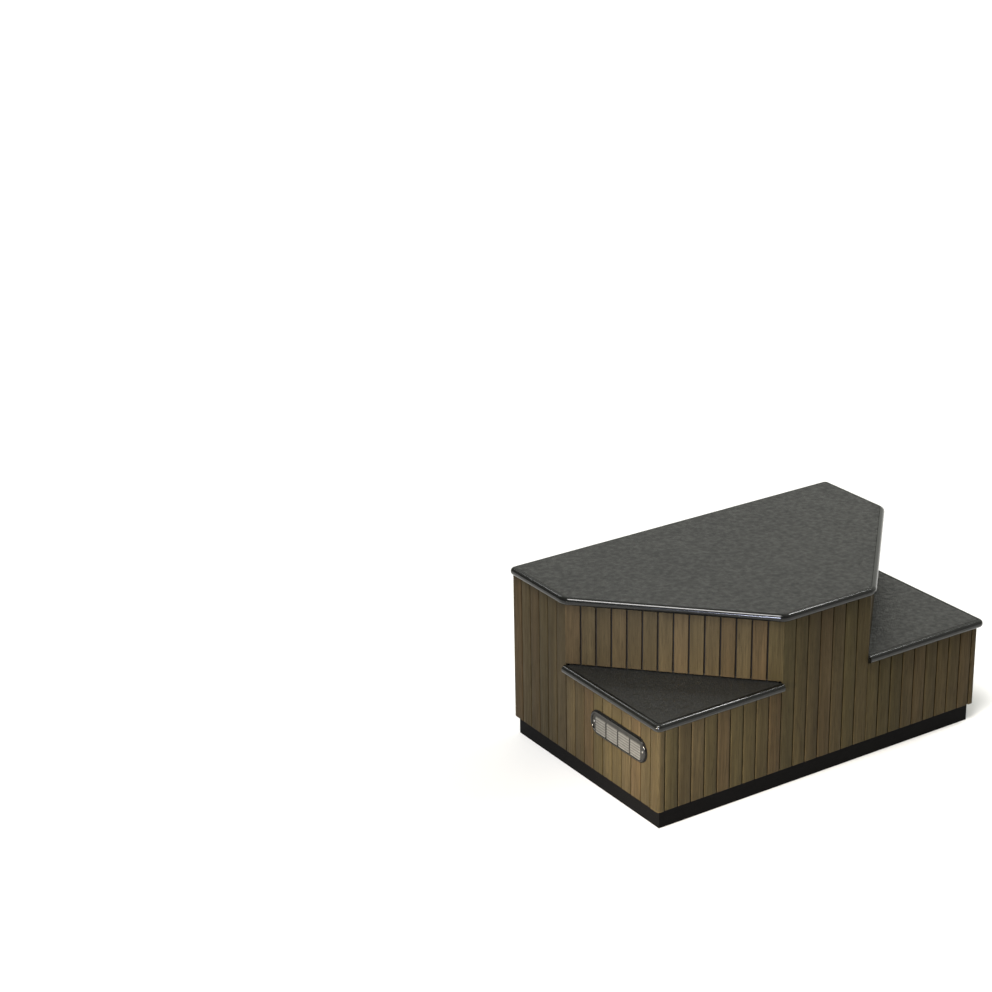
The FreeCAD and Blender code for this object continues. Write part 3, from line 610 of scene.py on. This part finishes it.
def steel_material(name, colour, rough, brushed=False, lip=None, edge=1.25):
    """Stainless steel, brushed along Y or polished; given a lip at X = lip, it carries painted
    shade behind the louvres' lips and is at full colour towards that X. A large edge factor paints
    a highlight along the edges.
    """
    material, tree, shader, place = new_material(name)
    squash = (1.0, 0.03, 1.0) if brushed else (1.0, 1.0, 1.0)
    lines = noise(tree, turn_place(tree, place, scale=squash), 1600.0 if brushed else 300.0,
                  3.0, 0.6)
    smudge = noise(tree, place, 45.0, 4.0)
    base = mix_colour(tree, remap(tree, smudge, 0.3, 0.75), rgb(colour), rgb(colour, 0.78))
    if lip is not None:
        # Painted shade: behind each louvre's lip the steel darkens to six hundredths of its colour.
        unshaded = remap(tree, part_of(tree, place, "X"), lip + LOUVRE_BACK, lip - LOUVRE_FRONT)
        painted_shade = mix_colour(tree, 1.0, base, rgb((0.06, 0.06, 0.06)), "MULTIPLY")
        base = mix_colour(tree, unshaded, painted_shade, base)
    base = rub_and_highlight_edges(tree, base, rgb(colour, edge), 0.4, 0.001, 80.0)
    spread = remap(tree, lines, 0.3, 0.7, rough - 0.06, rough + 0.10)
    feed(tree, shader, Base_Color=base, Metallic=1.0,
         Roughness=calc(tree, "ADD", spread, remap(tree, smudge, 0.4, 0.8, 0.0, 0.08)))
    bump(tree, shader, lines, 0.0001, 0.35 if brushed else 0.1)
    return material


def build_materials(settings):
    """Every finish of the steps, by name."""
    for make_group in (grain_group, edge_group, dust_group):
        make_group()
    wood, board = settings.slat.colour, settings.board.colour
    return {
        "slat": slat_material("slat_composite", wood, 0.0022, 0.35),
        # The trims' wider, stronger pale edges paint a highlight on their rounded corner.
        "trim": slat_material("trim_composite", wood, 0.006, 0.7),
        "board_field": board_field_material(board),
        "board_nose": board_nose_material(board),
        "plinth": painted_material("plinth_black", (0.0022, 0.0021, 0.0021), 0.55, 0.04),
        "lining": painted_material("lining_black", (0.012, 0.010, 0.008), 0.7),
        "back_panel": painted_material("back_sheet", (0.022, 0.022, 0.022), 0.55, 0.2, 30.0,
                                       0.0001),
        "timber_up": softwood_material("softwood_upright", (0.0, 0.0, 0.0)),
        "timber_x": softwood_material("softwood_across", ALONG_X),
        "timber_y": softwood_material("softwood_back", ALONG_Y),
        "plywood": plywood_material(),
        "rubber": rubber_material("rubber_black", (0.003, 0.003, 0.003)),
        # The lip paints shade behind the louvres' lips.
        "vent_plate": steel_material("steel_satin", (0.38, 0.372, 0.345), 0.52, brushed=True,
                                     lip=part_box("vent_plate")[0].x),
        # edge=14.0 paints a highlight along the rim's edges.
        "vent_rim": steel_material("steel_polished", (0.055, 0.054, 0.051), 0.10, edge=14.0),
        "screw": steel_material("steel_screw", (0.30, 0.29, 0.27), 0.30),
    }


FINISHES = {}


def dress(piece, body, slot, *finishes):
    """Give a new piece its finishes and the body it moves with; the slot is not used."""
    for number, finish in enumerate(finishes):
        if number == len(piece.data.materials):
            piece.data.materials.append(None)
        piece.data.materials[number] = FINISHES[finish]
    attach(piece, body)


# ---------------- operators

class STEPS_OT_finishes(bpy.types.Operator):
    """Put a finish on every part of the frame that stays in view"""
    bl_idname = "steps.finishes"
    bl_label = "Finishes"

    def execute(self, context):
        FINISHES.update(build_materials(context.scene.spa_steps))
        for name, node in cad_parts.items():
            finish = self.pick(name)
            for slot in node.material_slots:
                slot.material = FINISHES[finish]
        return {"FINISHED"}

    @staticmethod
    def pick(name):
        """Finish of a frame part, by the longest of these that its name starts with."""
        starts = {
            "slat": "slats", "trim": "corner_trim", "plinth": "plinth", "lining": "lining",
            "back_panel": "back_panel", "timber_up": "post",
            "timber_x": "top_rail_back top_rail_front top_rail_riser bearer_front bearer_riser"
                        " deck_cleats",
            "timber_y": "top_rail bearer_side floor_joist",
            "plywood": "floor_board deck_core tread_core", "rubber": "deck_buffers vent_gasket",
            "vent_plate": "vent_plate", "vent_rim": "vent_rim",
            "screw": "vent_screws back_panel_screws", "board_nose": "deck_board tread",
        }
        fits = [(len(start), finish) for finish, group in starts.items()
                for start in group.split() if name.startswith(start)]
        if not fits:
            raise RuntimeError(f"no finish for {name}")
        return max(fits)[1]


class STEPS_OT_slats(bpy.types.Operator):
    """Make every row of slats, with rounded edges and mitred outer corners"""
    bl_idname = "steps.slats"
    bl_label = "Slats"

    # frame part, number of slats, whether the row starts and ends in a mitre
    rows = [
        ("slats_tall_left", 6, False, True), ("slats_left_low", 9, False, False),
        ("slats_front_left", 9, False, False), ("slats_front_middle", 7, True, True),
        ("slats_front_right", 9, False, False), ("slats_right_low", 9, False, False),
        ("slats_tall_right", 6, True, False), ("slats_riser_left", 14, True, True),
        ("slats_riser_right", 14, True, True),
    ]

    def execute(self, context):
        settings = context.scene.spa_steps.slat
        chance = random.Random(settings.seed)
        for node, count, mitre_start, mitre_end in self.rows:
            row = self.make_row(node, count, mitre_start, mitre_end, settings, chance)
            dress(row, "cabinet", "slat", "slat")
            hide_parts(node)
        return {"FINISHED"}

    @staticmethod
    def ends(node, gap):
        """Where a row starts and ends along its outer face, walking with the inside on the left."""
        low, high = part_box(node)
        front = low.y - gap / 2
        return {
            "slats_tall_left": (BACK_LEFT, CORNER_B),
            "slats_left_low": (CORNER_B, Vector((-SIDE_X, front))),
            "slats_front_left": (Vector((low.x - gap / 2, FRONT_Y)), CORNER_C),
            "slats_front_middle": (CORNER_C, CORNER_D),
            "slats_front_right": (CORNER_D, Vector((high.x + gap / 2, FRONT_Y))),
            "slats_right_low": (Vector((SIDE_X, front)), CORNER_E),
            "slats_tall_right": (CORNER_E, BACK_RIGHT),
            "slats_riser_left": (CORNER_B, CORNER_C),
            "slats_riser_right": (CORNER_D, CORNER_E),
        }[node]

    def make_row(self, node, count, mitre_start, mitre_end, settings, chance):
        """Copies of one slat along a wall, each with its own tone and its own set-back."""
        start, end = self.ends(node, settings.gap)
        low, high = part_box(node)
        pitch = (end - start).length / count
        along = (end - start).normalized()
        inside = inward(start, end)
        turn = Matrix.Rotation(math.atan2(along.y, along.x), 4, "Z")
        template = self.make_slat(pitch - settings.gap, high.z - low.z, settings.edge)
        slats = []
        for number in range(count):
            middle = start + along * pitch * (number + 0.5)
            back = inside * chance.uniform(0.0, settings.uneven)
            spot = Matrix.Translation((middle.x + back.x, middle.y + back.y, low.z))
            slat = copy_at(template, Matrix())
            if number == 0 and mitre_start:
                self.stretch(slat, -1, settings.gap)
            if number == count - 1 and mitre_end:
                self.stretch(slat, 1, settings.gap)
            slat.data.transform(spot @ turn)
            give_tone(slat, chance.random())
            slats.append(slat)
        bpy.data.objects.remove(template)
        row = join_all(slats, "row_" + node.removeprefix("slats_"))
        bpy.ops.object.mode_set(mode="EDIT")
        if mitre_start:
            self.mitre(start, -1)
        if mitre_end:
            self.mitre(end, 1)
        return finish_mesh(row, 40.0)

    @staticmethod
    def make_slat(width, height, edge):
        """One slat on the X axis, its outer face at Y = 0 and its foot at Z = 0."""
        slat = add_block("slat", (-width / 2, 0, 0), (width / 2, SLAT_THICK, height))
        bpy.ops.object.mode_set(mode="EDIT")
        select_only(slat, "edges", lambda item: all(
            abs(point.y) < TOUCH for point in edge_ends(slat, item)))
        bpy.ops.mesh.bevel(offset=edge, segments=3)
        bpy.ops.object.mode_set(mode="OBJECT")
        return slat

    @staticmethod
    def stretch(slat, side, gap):
        """Push one side of a slat past the corner, ready for its mitre."""
        reach = max(vertex.co.x * side for vertex in slat.data.vertices)
        for vertex in slat.data.vertices:
            if vertex.co.x * side > reach - SIDE_BAND:
                vertex.co.x += side * 2 * gap

    @staticmethod
    def mitre(corner, side):
        """Cut the row's end on the plane that halves the corner between two walls."""
        number = min(range(len(WALLS)), key=lambda index: (WALLS[index] - corner).length)
        before = (WALLS[number] - WALLS[number - 1]).normalized()
        after = (WALLS[number + 1] - WALLS[number]).normalized()
        half = flat(before + after) * side
        cut_away((corner.x, corner.y, 0), half)


class STEPS_OT_trims(bpy.types.Operator):
    """Make the two L-shaped trims at the front corners"""
    bl_idname = "steps.trims"
    bl_label = "Corner trims"

    def execute(self, context):
        settings = context.scene.spa_steps.slat
        for node, side in (("corner_trim_left", -1), ("corner_trim_right", 1)):
            low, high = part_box(node)
            trim = self.make_trim(node, low, high, side, settings)
            give_tone(trim, 0.31 + side * 0.08)
            dress(trim, "cabinet", "slat", "trim")
            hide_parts(node)
        return {"FINISHED"}

    @staticmethod
    def make_trim(node, low, high, side, settings):
        """An L from a block whose inner corner is cut out by a smaller block."""
        trim = add_block("trim_" + node.removeprefix("corner_trim_"), low, high)
        outer_x = low.x if side < 0 else high.x
        inner_x = outer_x - side * SLAT_THICK
        far_x = outer_x - side * RUN_PAST
        cutter = add_block(
            "trim_cutter", (min(inner_x, far_x), low.y + SLAT_THICK, low.z - RUN_PAST),
            (max(inner_x, far_x), high.y + RUN_PAST, high.z + RUN_PAST))
        carve(trim, cutter)
        bpy.ops.object.mode_set(mode="EDIT")

        def upright_at(item, x, y):
            points = edge_ends(trim, item)
            return all(abs(point.x - x) < TOUCH and abs(point.y - y) < TOUCH for point in points)

        select_only(trim, "edges", lambda item: upright_at(item, outer_x, low.y))
        bpy.ops.mesh.bevel(offset=settings.corner, segments=8)
        end_x = high.x if side < 0 else low.x
        select_only(trim, "edges", lambda item: upright_at(item, end_x, low.y)
                    or upright_at(item, outer_x, high.y))
        bpy.ops.mesh.bevel(offset=settings.edge, segments=3)
        return finish_mesh(trim, 40.0)


class STEPS_OT_boards(bpy.types.Operator):
    """Make the deck and the two treads, with bullnose, groove and textured field"""
    bl_idname = "steps.boards"
    bl_label = "Deck and treads"

    def execute(self, context):
        settings = context.scene.spa_steps.board
        deck = self.make_deck(settings)
        dress(deck, "deck", "board", "board_nose", "board_field")
        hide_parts("deck_board")
        for node, start, end in (("tread_left", CORNER_B, CORNER_C),
                                 ("tread_right", CORNER_D, CORNER_E)):
            tread = self.make_tread(node, start, end, settings)
            dress(tread, "cabinet", "board", "board_nose", "board_field")
            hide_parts(node)
        return {"FINISHED"}

    def make_deck(self, settings):
        """Hexagon cut from a block, rounded all the way round."""
        deck = add_block("deck", DECK_LOW, DECK_HIGH)
        bpy.ops.object.mode_set(mode="EDIT")
        for start, end in ((CORNER_B, CORNER_C), (CORNER_D, CORNER_E)):
            outward = -inward(start, end)
            point = start + outward * OVERHANG
            cut_away((point.x, point.y, 0), flat(outward))
        self.round_edges(deck, settings, lambda point: True, lambda point: True)
        select_only(deck, "faces", lambda face: self.is_top(face, DECK_HIGH.z))
        bpy.ops.mesh.inset(thickness=settings.border, depth=0)
        self.mark_field(deck)
        bpy.ops.mesh.inset(thickness=settings.groove / 2, depth=-settings.sink)
        bpy.ops.mesh.inset(thickness=settings.groove / 2, depth=settings.sink)
        select_only(deck, "faces", lambda face: self.is_under(face, DECK_LOW.z))
        bpy.ops.mesh.inset(thickness=settings.rim - settings.nose, depth=0)
        draw_out(0, 0, settings.recess)
        return finish_mesh(deck, 30.0)

    def make_tread(self, node, start, end, settings):
        """Triangle cut from a block, rounded on its two free edges."""
        low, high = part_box(node)
        tread = add_block(node.replace("tread_", "step_"), low, high)
        bpy.ops.object.mode_set(mode="EDIT")
        inside = inward(start, end)
        back = start - inside * settings.space
        cut_away((back.x, back.y, 0), flat(inside))
        free_x = low.x if low.x < 0 else high.x

        def is_corner(point):
            return abs(point.x - free_x) < TOUCH and abs(point.y - low.y) < TOUCH

        def is_free(point):
            out_x = abs(point.x - free_x)
            out_y = point.y - low.y
            reach = settings.corner + TOUCH
            return out_x < TOUCH or out_y < TOUCH or (out_x < reach and out_y < reach)

        self.round_edges(tread, settings, is_corner, is_free)
        corner = Vector((free_x, low.y))
        self.score_field(tread, settings, corner, high.z, back, inside)
        self.hollow_under(tread, settings, corner, low.z, back, inside)
        self.add_tongue(tread, start, end, inside, settings)
        return finish_mesh(tread, 30.0)

    @staticmethod
    def is_top(face, top):
        return face.normal.z > FACING and face.center.z > top - TOUCH

    @staticmethod
    def is_under(face, level):
        return face.normal.z < -FACING and face.center.z < level + TOUCH

    @staticmethod
    def round_edges(board, settings, is_corner, is_free):
        """Round the free corners in plan, then the free top and bottom edges."""
        def is_chosen(item, upright, test):
            points = edge_ends(board, item)
            rises = abs(points[0].z - points[1].z) > TOUCH
            return rises == upright and all(test(point) for point in points)

        select_only(board, "edges", lambda item: is_chosen(item, True, is_corner))
        bpy.ops.mesh.bevel(offset=settings.corner, segments=10)
        select_only(board, "edges", lambda item: is_chosen(item, False, is_free))
        bpy.ops.mesh.bevel(offset=settings.nose, segments=8)

    @staticmethod
    def mark_field(board):
        """Give the selected faces, the textured field, the board's second material."""
        board.data.materials.append(None)
        board.data.materials.append(None)
        board.active_material_index = 1
        bpy.ops.object.material_slot_assign()

    def score_field(self, tread, settings, corner, top, back, inside):
        """Sink a groove along both free edges, short of the riser, and mark the field."""
        first = settings.nose + settings.border
        last = first + settings.groove
        stop = back - inside * settings.groove
        reach, is_short = self.mark_out(tread, lambda face: self.is_top(face, top), corner,
                                        (first, last), stop, inside)
        select_only(tread, "faces", lambda face: self.is_top(face, top) and reach(face) > first)
        self.mark_field(tread)
        select_only(tread, "faces", lambda face: self.is_top(face, top) and is_short(face)
                    and first < reach(face) < last)
        draw_out(0, 0, -settings.sink)

    def hollow_under(self, tread, settings, corner, level, back, inside):
        """Recess in the tread's underside for its plywood core."""
        stop = back - inside * (settings.recess - settings.space)
        reach, is_short = self.mark_out(tread, lambda face: self.is_under(face, level), corner,
                                        (settings.rim,), stop, inside)
        select_only(tread, "faces", lambda face: self.is_under(face, level) and is_short(face)
                    and reach(face) > settings.rim)
        draw_out(0, 0, settings.recess)

    @staticmethod
    def mark_out(tread, on_side, corner, steps, stop, inside):
        """Score one side of a tread at steps in from its free edges and at a stop line.

        Returns a function that tells how far in a face lies, and one that tells whether it
        is short of the stop line.
        """
        side = 1 if corner.x < 0 else -1
        cuts = []
        for step in steps:
            cuts.append(((corner.x + side * step, 0, 0), (1, 0, 0)))
            cuts.append(((0, corner.y + step, 0), (0, 1, 0)))
        cuts.append(((stop.x, stop.y, 0), flat(inside)))
        for point, normal in cuts:
            select_only(tread, "faces", on_side)
            bpy.ops.mesh.bisect(plane_co=point, plane_no=normal)

        def reach(face):
            return min((face.center.x - corner.x) * side, face.center.y - corner.y)

        def is_short(face):
            return (face.center.xy - stop).dot(inside) < 0

        return reach, is_short

    @staticmethod
    def add_tongue(tread, start, end, inside, settings):
        """Strip that runs on under the riser's slats, short of the wall corners."""
        def is_back(face):
            return face.normal.xy.dot(inside) > FACING

        along = (end - start).normalized()
        for corner, side in ((start, 1), (end, -1)):
            cut = corner + along * side * settings.tongue_end
            select_only(tread, "faces", is_back)
            bpy.ops.mesh.bisect(plane_co=(cut.x, cut.y, 0), plane_no=flat(along))
        middle = (start + end) / 2
        reach = (end - start).length / 2 - settings.tongue_end
        found = select_only(tread, "faces", lambda face: is_back(face) and abs(
            (face.center.xy - middle).dot(along)) < reach)
        if not found:
            raise RuntimeError("the tread has no back face for its tongue")
        step = inside * (settings.tongue + settings.space)
        draw_out(step.x, step.y, 0)


class STEPS_OT_screws(bpy.types.Operator):
    """Make the vent's two domed screws and the back panel's countersunk ones"""
    bl_idname = "steps.screws"
    bl_label = "Screws"

    def execute(self, context):
        settings = context.scene.spa_steps.screw
        low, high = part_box("vent_screws")
        radius = (high.z - low.z) / 2
        domed = self.make_screw(radius, high.x - low.x, True, settings)
        places = [Vector((low.x, along, low.z + radius))
                  for along in (low.y + radius, high.y - radius)]
        self.set_in("vent_fixings", "vent_screws", domed, places, Vector((-1, 0, 0)),
                    "vent_screw")
        low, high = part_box("back_panel_screws")
        radius = self.panel_radius()
        sunk = self.make_screw(radius, high.y - low.y, False, settings)
        step = (high.z - low.z - 2 * radius) / (SCREW_ROWS - 1)
        places = [Vector((across, high.y, low.z + radius + step * row))
                  for across in (low.x + radius, high.x - radius)
                  for row in range(SCREW_ROWS)]
        self.set_in("panel_fixings", "back_panel_screws", sunk, places, Vector((0, 1, 0)),
                    "panel_screw")
        return {"FINISHED"}

    @staticmethod
    def panel_radius():
        """Radius of the back panel's screw heads, half the width of one screw in the frame."""
        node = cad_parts["back_panel_screws"]
        left = min(vertex.co.x for vertex in node.data.vertices)
        near = [vertex.co.x for vertex in node.data.vertices if vertex.co.x < left + SCREW_COLUMN]
        return (max(near) - left) / 2

    @staticmethod
    def make_screw(radius, length, domed, settings):
        """Domed or countersunk head with its top at the origin, a cross in it, and a shank."""
        foot = radius if domed else settings.shank
        deep = settings.head if domed else radius - settings.shank
        start_clean()
        bpy.ops.mesh.primitive_cone_add(vertices=SCREW_SIDES, radius1=foot, radius2=radius,
                                        depth=deep, location=(0, 0, -deep / 2))
        screw = bpy.context.object
        bpy.ops.object.transform_apply(location=True, rotation=True, scale=True)
        bpy.ops.object.mode_set(mode="EDIT")
        select_only(screw, "faces", lambda face: face.normal.z < -FACING)
        if domed:
            bpy.ops.mesh.inset(thickness=radius - settings.shank, depth=0)
        draw_out(0, 0, deep - length)
        if domed:
            select_only(screw, "edges", lambda edge: all(
                point.z > -TOUCH for point in edge_ends(screw, edge)))
            bpy.ops.mesh.bevel(offset=settings.head * DOME, segments=5)
        bpy.ops.object.mode_set(mode="OBJECT")
        reach, half = radius * CROSS_REACH, settings.slot / 2
        for wide, long in ((reach, half), (half, reach)):
            carve(screw, add_block("screw_blade", (-wide, -long, -settings.deep),
                                   (wide, long, settings.deep)))
        return screw

    @staticmethod
    def set_in(name, node, template, places, outward, slot):
        """Copies of a screw with their heads outward, as one piece."""
        turn = UP.rotation_difference(outward).to_matrix().to_4x4()
        chance = random.Random(3)
        screws = [copy_at(template, Matrix.Translation(place) @ turn
                          @ Matrix.Rotation(chance.uniform(0, math.pi), 4, "Z"))
                  for place in places]
        bpy.data.objects.remove(template)
        bunch = finish_mesh(join_all(screws, name), 30.0)
        dress(bunch, "cabinet", slot, "screw")
        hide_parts(node)


class STEPS_OT_stage(bpy.types.Operator):
    """Set up the floor, the soft lights and the camera"""
    bl_idname = "steps.stage"
    bl_label = "Stage"

    def execute(self, context):
        settings = context.scene.spa_steps.stage
        self.make_floor(settings)
        self.make_world(settings)
        self.make_lights(settings)
        self.make_camera(settings)
        return {"FINISHED"}

    @staticmethod
    def make_floor(settings):
        start_clean()
        bpy.ops.mesh.primitive_plane_add(size=FLOOR_SIZE, location=(0, 0, 0))
        floor = bpy.context.object
        floor.name = "floor"
        material, tree, shader, place = new_material("studio_floor")
        cloud = noise(tree, place, 1.5)
        base = mix_colour(tree, cloud, rgb(settings.floor, 0.985), rgb(settings.floor, 1.015))
        feed(tree, shader, Base_Color=base, Roughness=0.7)
        floor.data.materials.append(material)

    @staticmethod
    def make_world(settings):
        """Studio walls: white to look at, brightest far to the right and a little behind."""
        world = bpy.data.worlds.new("studio")
        world.use_nodes = True
        tree = world.node_tree
        background = tree.nodes["Background"]
        way = add_node(tree, "TexCoord").outputs["Generated"]
        brightest = (0.90, 0.36, 0.25)
        ahead = combine(tree, "DOT_PRODUCT", way, brightest, "Value")
        glow = remap(tree, ahead, -0.2, 0.98, 0.45, 2.1)
        light = times(tree, glow, settings.fill)
        seen = add_node(tree, "LightPath").outputs["Is Camera Ray"]
        tint = mix_colour(tree, seen, rgb((0.99, 1.0, 0.92)), rgb((1.0, 1.0, 1.0)))
        tree.links.new(tint, background.inputs["Color"])
        shown = add_node(tree, "Mix", {0: seen, 2: light, 3: 1.0}, data_type="FLOAT").outputs[0]
        tree.links.new(shown, background.inputs["Strength"])
        bpy.context.scene.world = world

    @staticmethod
    def add_lamp(name, kind, place, target, power, colour):
        """A lamp at a place, turned to a target; returns its data."""
        bpy.ops.object.light_add(type=kind, location=place)
        lamp = bpy.context.object
        lamp.name = name
        lamp.data.energy = power
        lamp.data.color = colour
        aim = Vector(target) - Vector(place)
        lamp.rotation_euler = aim.to_track_quat("-Z", "Y").to_euler()
        return lamp.data

    def make_lights(self, settings):
        """Soft daylight, three small suns that line the bullnoses, two low lamps."""
        white = (1.0, 1.0, 1.0)
        # name, direction it comes from, strength, angle across in degrees, colour
        suns = (("key", (-2.05, -1.10, 4.4), settings.key, 30.0, (1.0, 0.98, 0.95)),
                ("diagonal_edge", (-1.60, -0.74, 3.6), settings.shine * 2.0, 16.0,
                 (1.0, 0.98, 0.97)),
                ("front_edge", (2.2, 0.0, 3.3), settings.shine, 7.0, white),
                ("left_edge", (-0.3, 2.9, 2.7), settings.shine * 0.2, 7.0, white))
        for name, place, strength, angle, colour in suns:
            sun = self.add_lamp(name, "SUN", place, (0, 0, 0), strength, colour)
            sun.angle = math.radians(angle)
        # name, place, what it is aimed at, power, colour
        low = (("side", (-2.6, -0.85, 0.5), (-0.53, -0.26, 0.15), settings.side,
                (1.0, 0.88, 0.72)),
               ("riser", (-3.0, -2.8, 1.1), (-0.42, -0.10, 0.38), settings.side * 0.8,
                (0.72, 0.77, 1.0)))
        for name, place, target, power, colour in low:
            lamp = self.add_lamp(name, "AREA", place, target, power, colour)
            lamp.size = LAMP_SIZE
            lamp.spread = math.radians(LAMP_SPREAD)

    @staticmethod
    def make_camera(settings):
        """Camera set by its place, its heading from +Y, its tilt down and a slight roll."""
        place = (-3.5151, -4.2978, 2.8652)
        heading, tilt, roll = 0.5651, 0.3756, -0.02
        turn = (Matrix.Rotation(-heading, 4, "Z") @ Matrix.Rotation(math.pi / 2 - tilt, 4, "X")
                @ Matrix.Rotation(roll, 4, "Z"))
        bpy.ops.object.camera_add()
        camera = bpy.context.object
        camera.name = "camera"
        camera.matrix_world = Matrix.Translation(place) @ turn
        camera.data.lens = settings.lens
        camera.data.sensor_width = 36.0
        camera.data.clip_end = 200.0
        bpy.context.scene.camera = camera
        bpy.context.scene.view_settings.view_transform = "Standard"


class SpaStepsSettings(bpy.types.PropertyGroup):
    """All the settings of the steps."""
    slat: bpy.props.PointerProperty(type=SlatSettings)
    board: bpy.props.PointerProperty(type=BoardSettings)
    screw: bpy.props.PointerProperty(type=ScrewSettings)
    stage: bpy.props.PointerProperty(type=StageSettings)


OPERATORS = (STEPS_OT_finishes, STEPS_OT_slats, STEPS_OT_trims, STEPS_OT_boards,
             STEPS_OT_screws, STEPS_OT_stage)


class STEPS_PT_panel(bpy.types.Panel):
    """Buttons for the steps' operators and their settings"""
    bl_label = "Spa Steps"
    bl_idname = "STEPS_PT_panel"
    bl_space_type = "VIEW_3D"
    bl_region_type = "UI"
    bl_category = "Spa Steps"

    def draw(self, context):
        for operator in OPERATORS:
            self.layout.operator(operator.bl_idname)
        settings = context.scene.spa_steps
        for part in (settings.slat, settings.board, settings.screw, settings.stage):
            for name in part.__annotations__:
                self.layout.prop(part, name)


CLASSES = (SlatSettings, BoardSettings, ScrewSettings, StageSettings, SpaStepsSettings,
           *OPERATORS, STEPS_PT_panel)


def register():
    for item in CLASSES:
        bpy.utils.register_class(item)
    bpy.types.Scene.spa_steps = bpy.props.PointerProperty(type=SpaStepsSettings)


def unregister():
    del bpy.types.Scene.spa_steps
    for item in reversed(CLASSES):
        bpy.utils.unregister_class(item)


def main():
    register()
    bpy.ops.steps.finishes()
    bpy.ops.steps.slats()
    bpy.ops.steps.trims()
    bpy.ops.steps.boards()
    bpy.ops.steps.screws()
    bpy.ops.steps.stage()


if __name__ == "__main__":
    main()
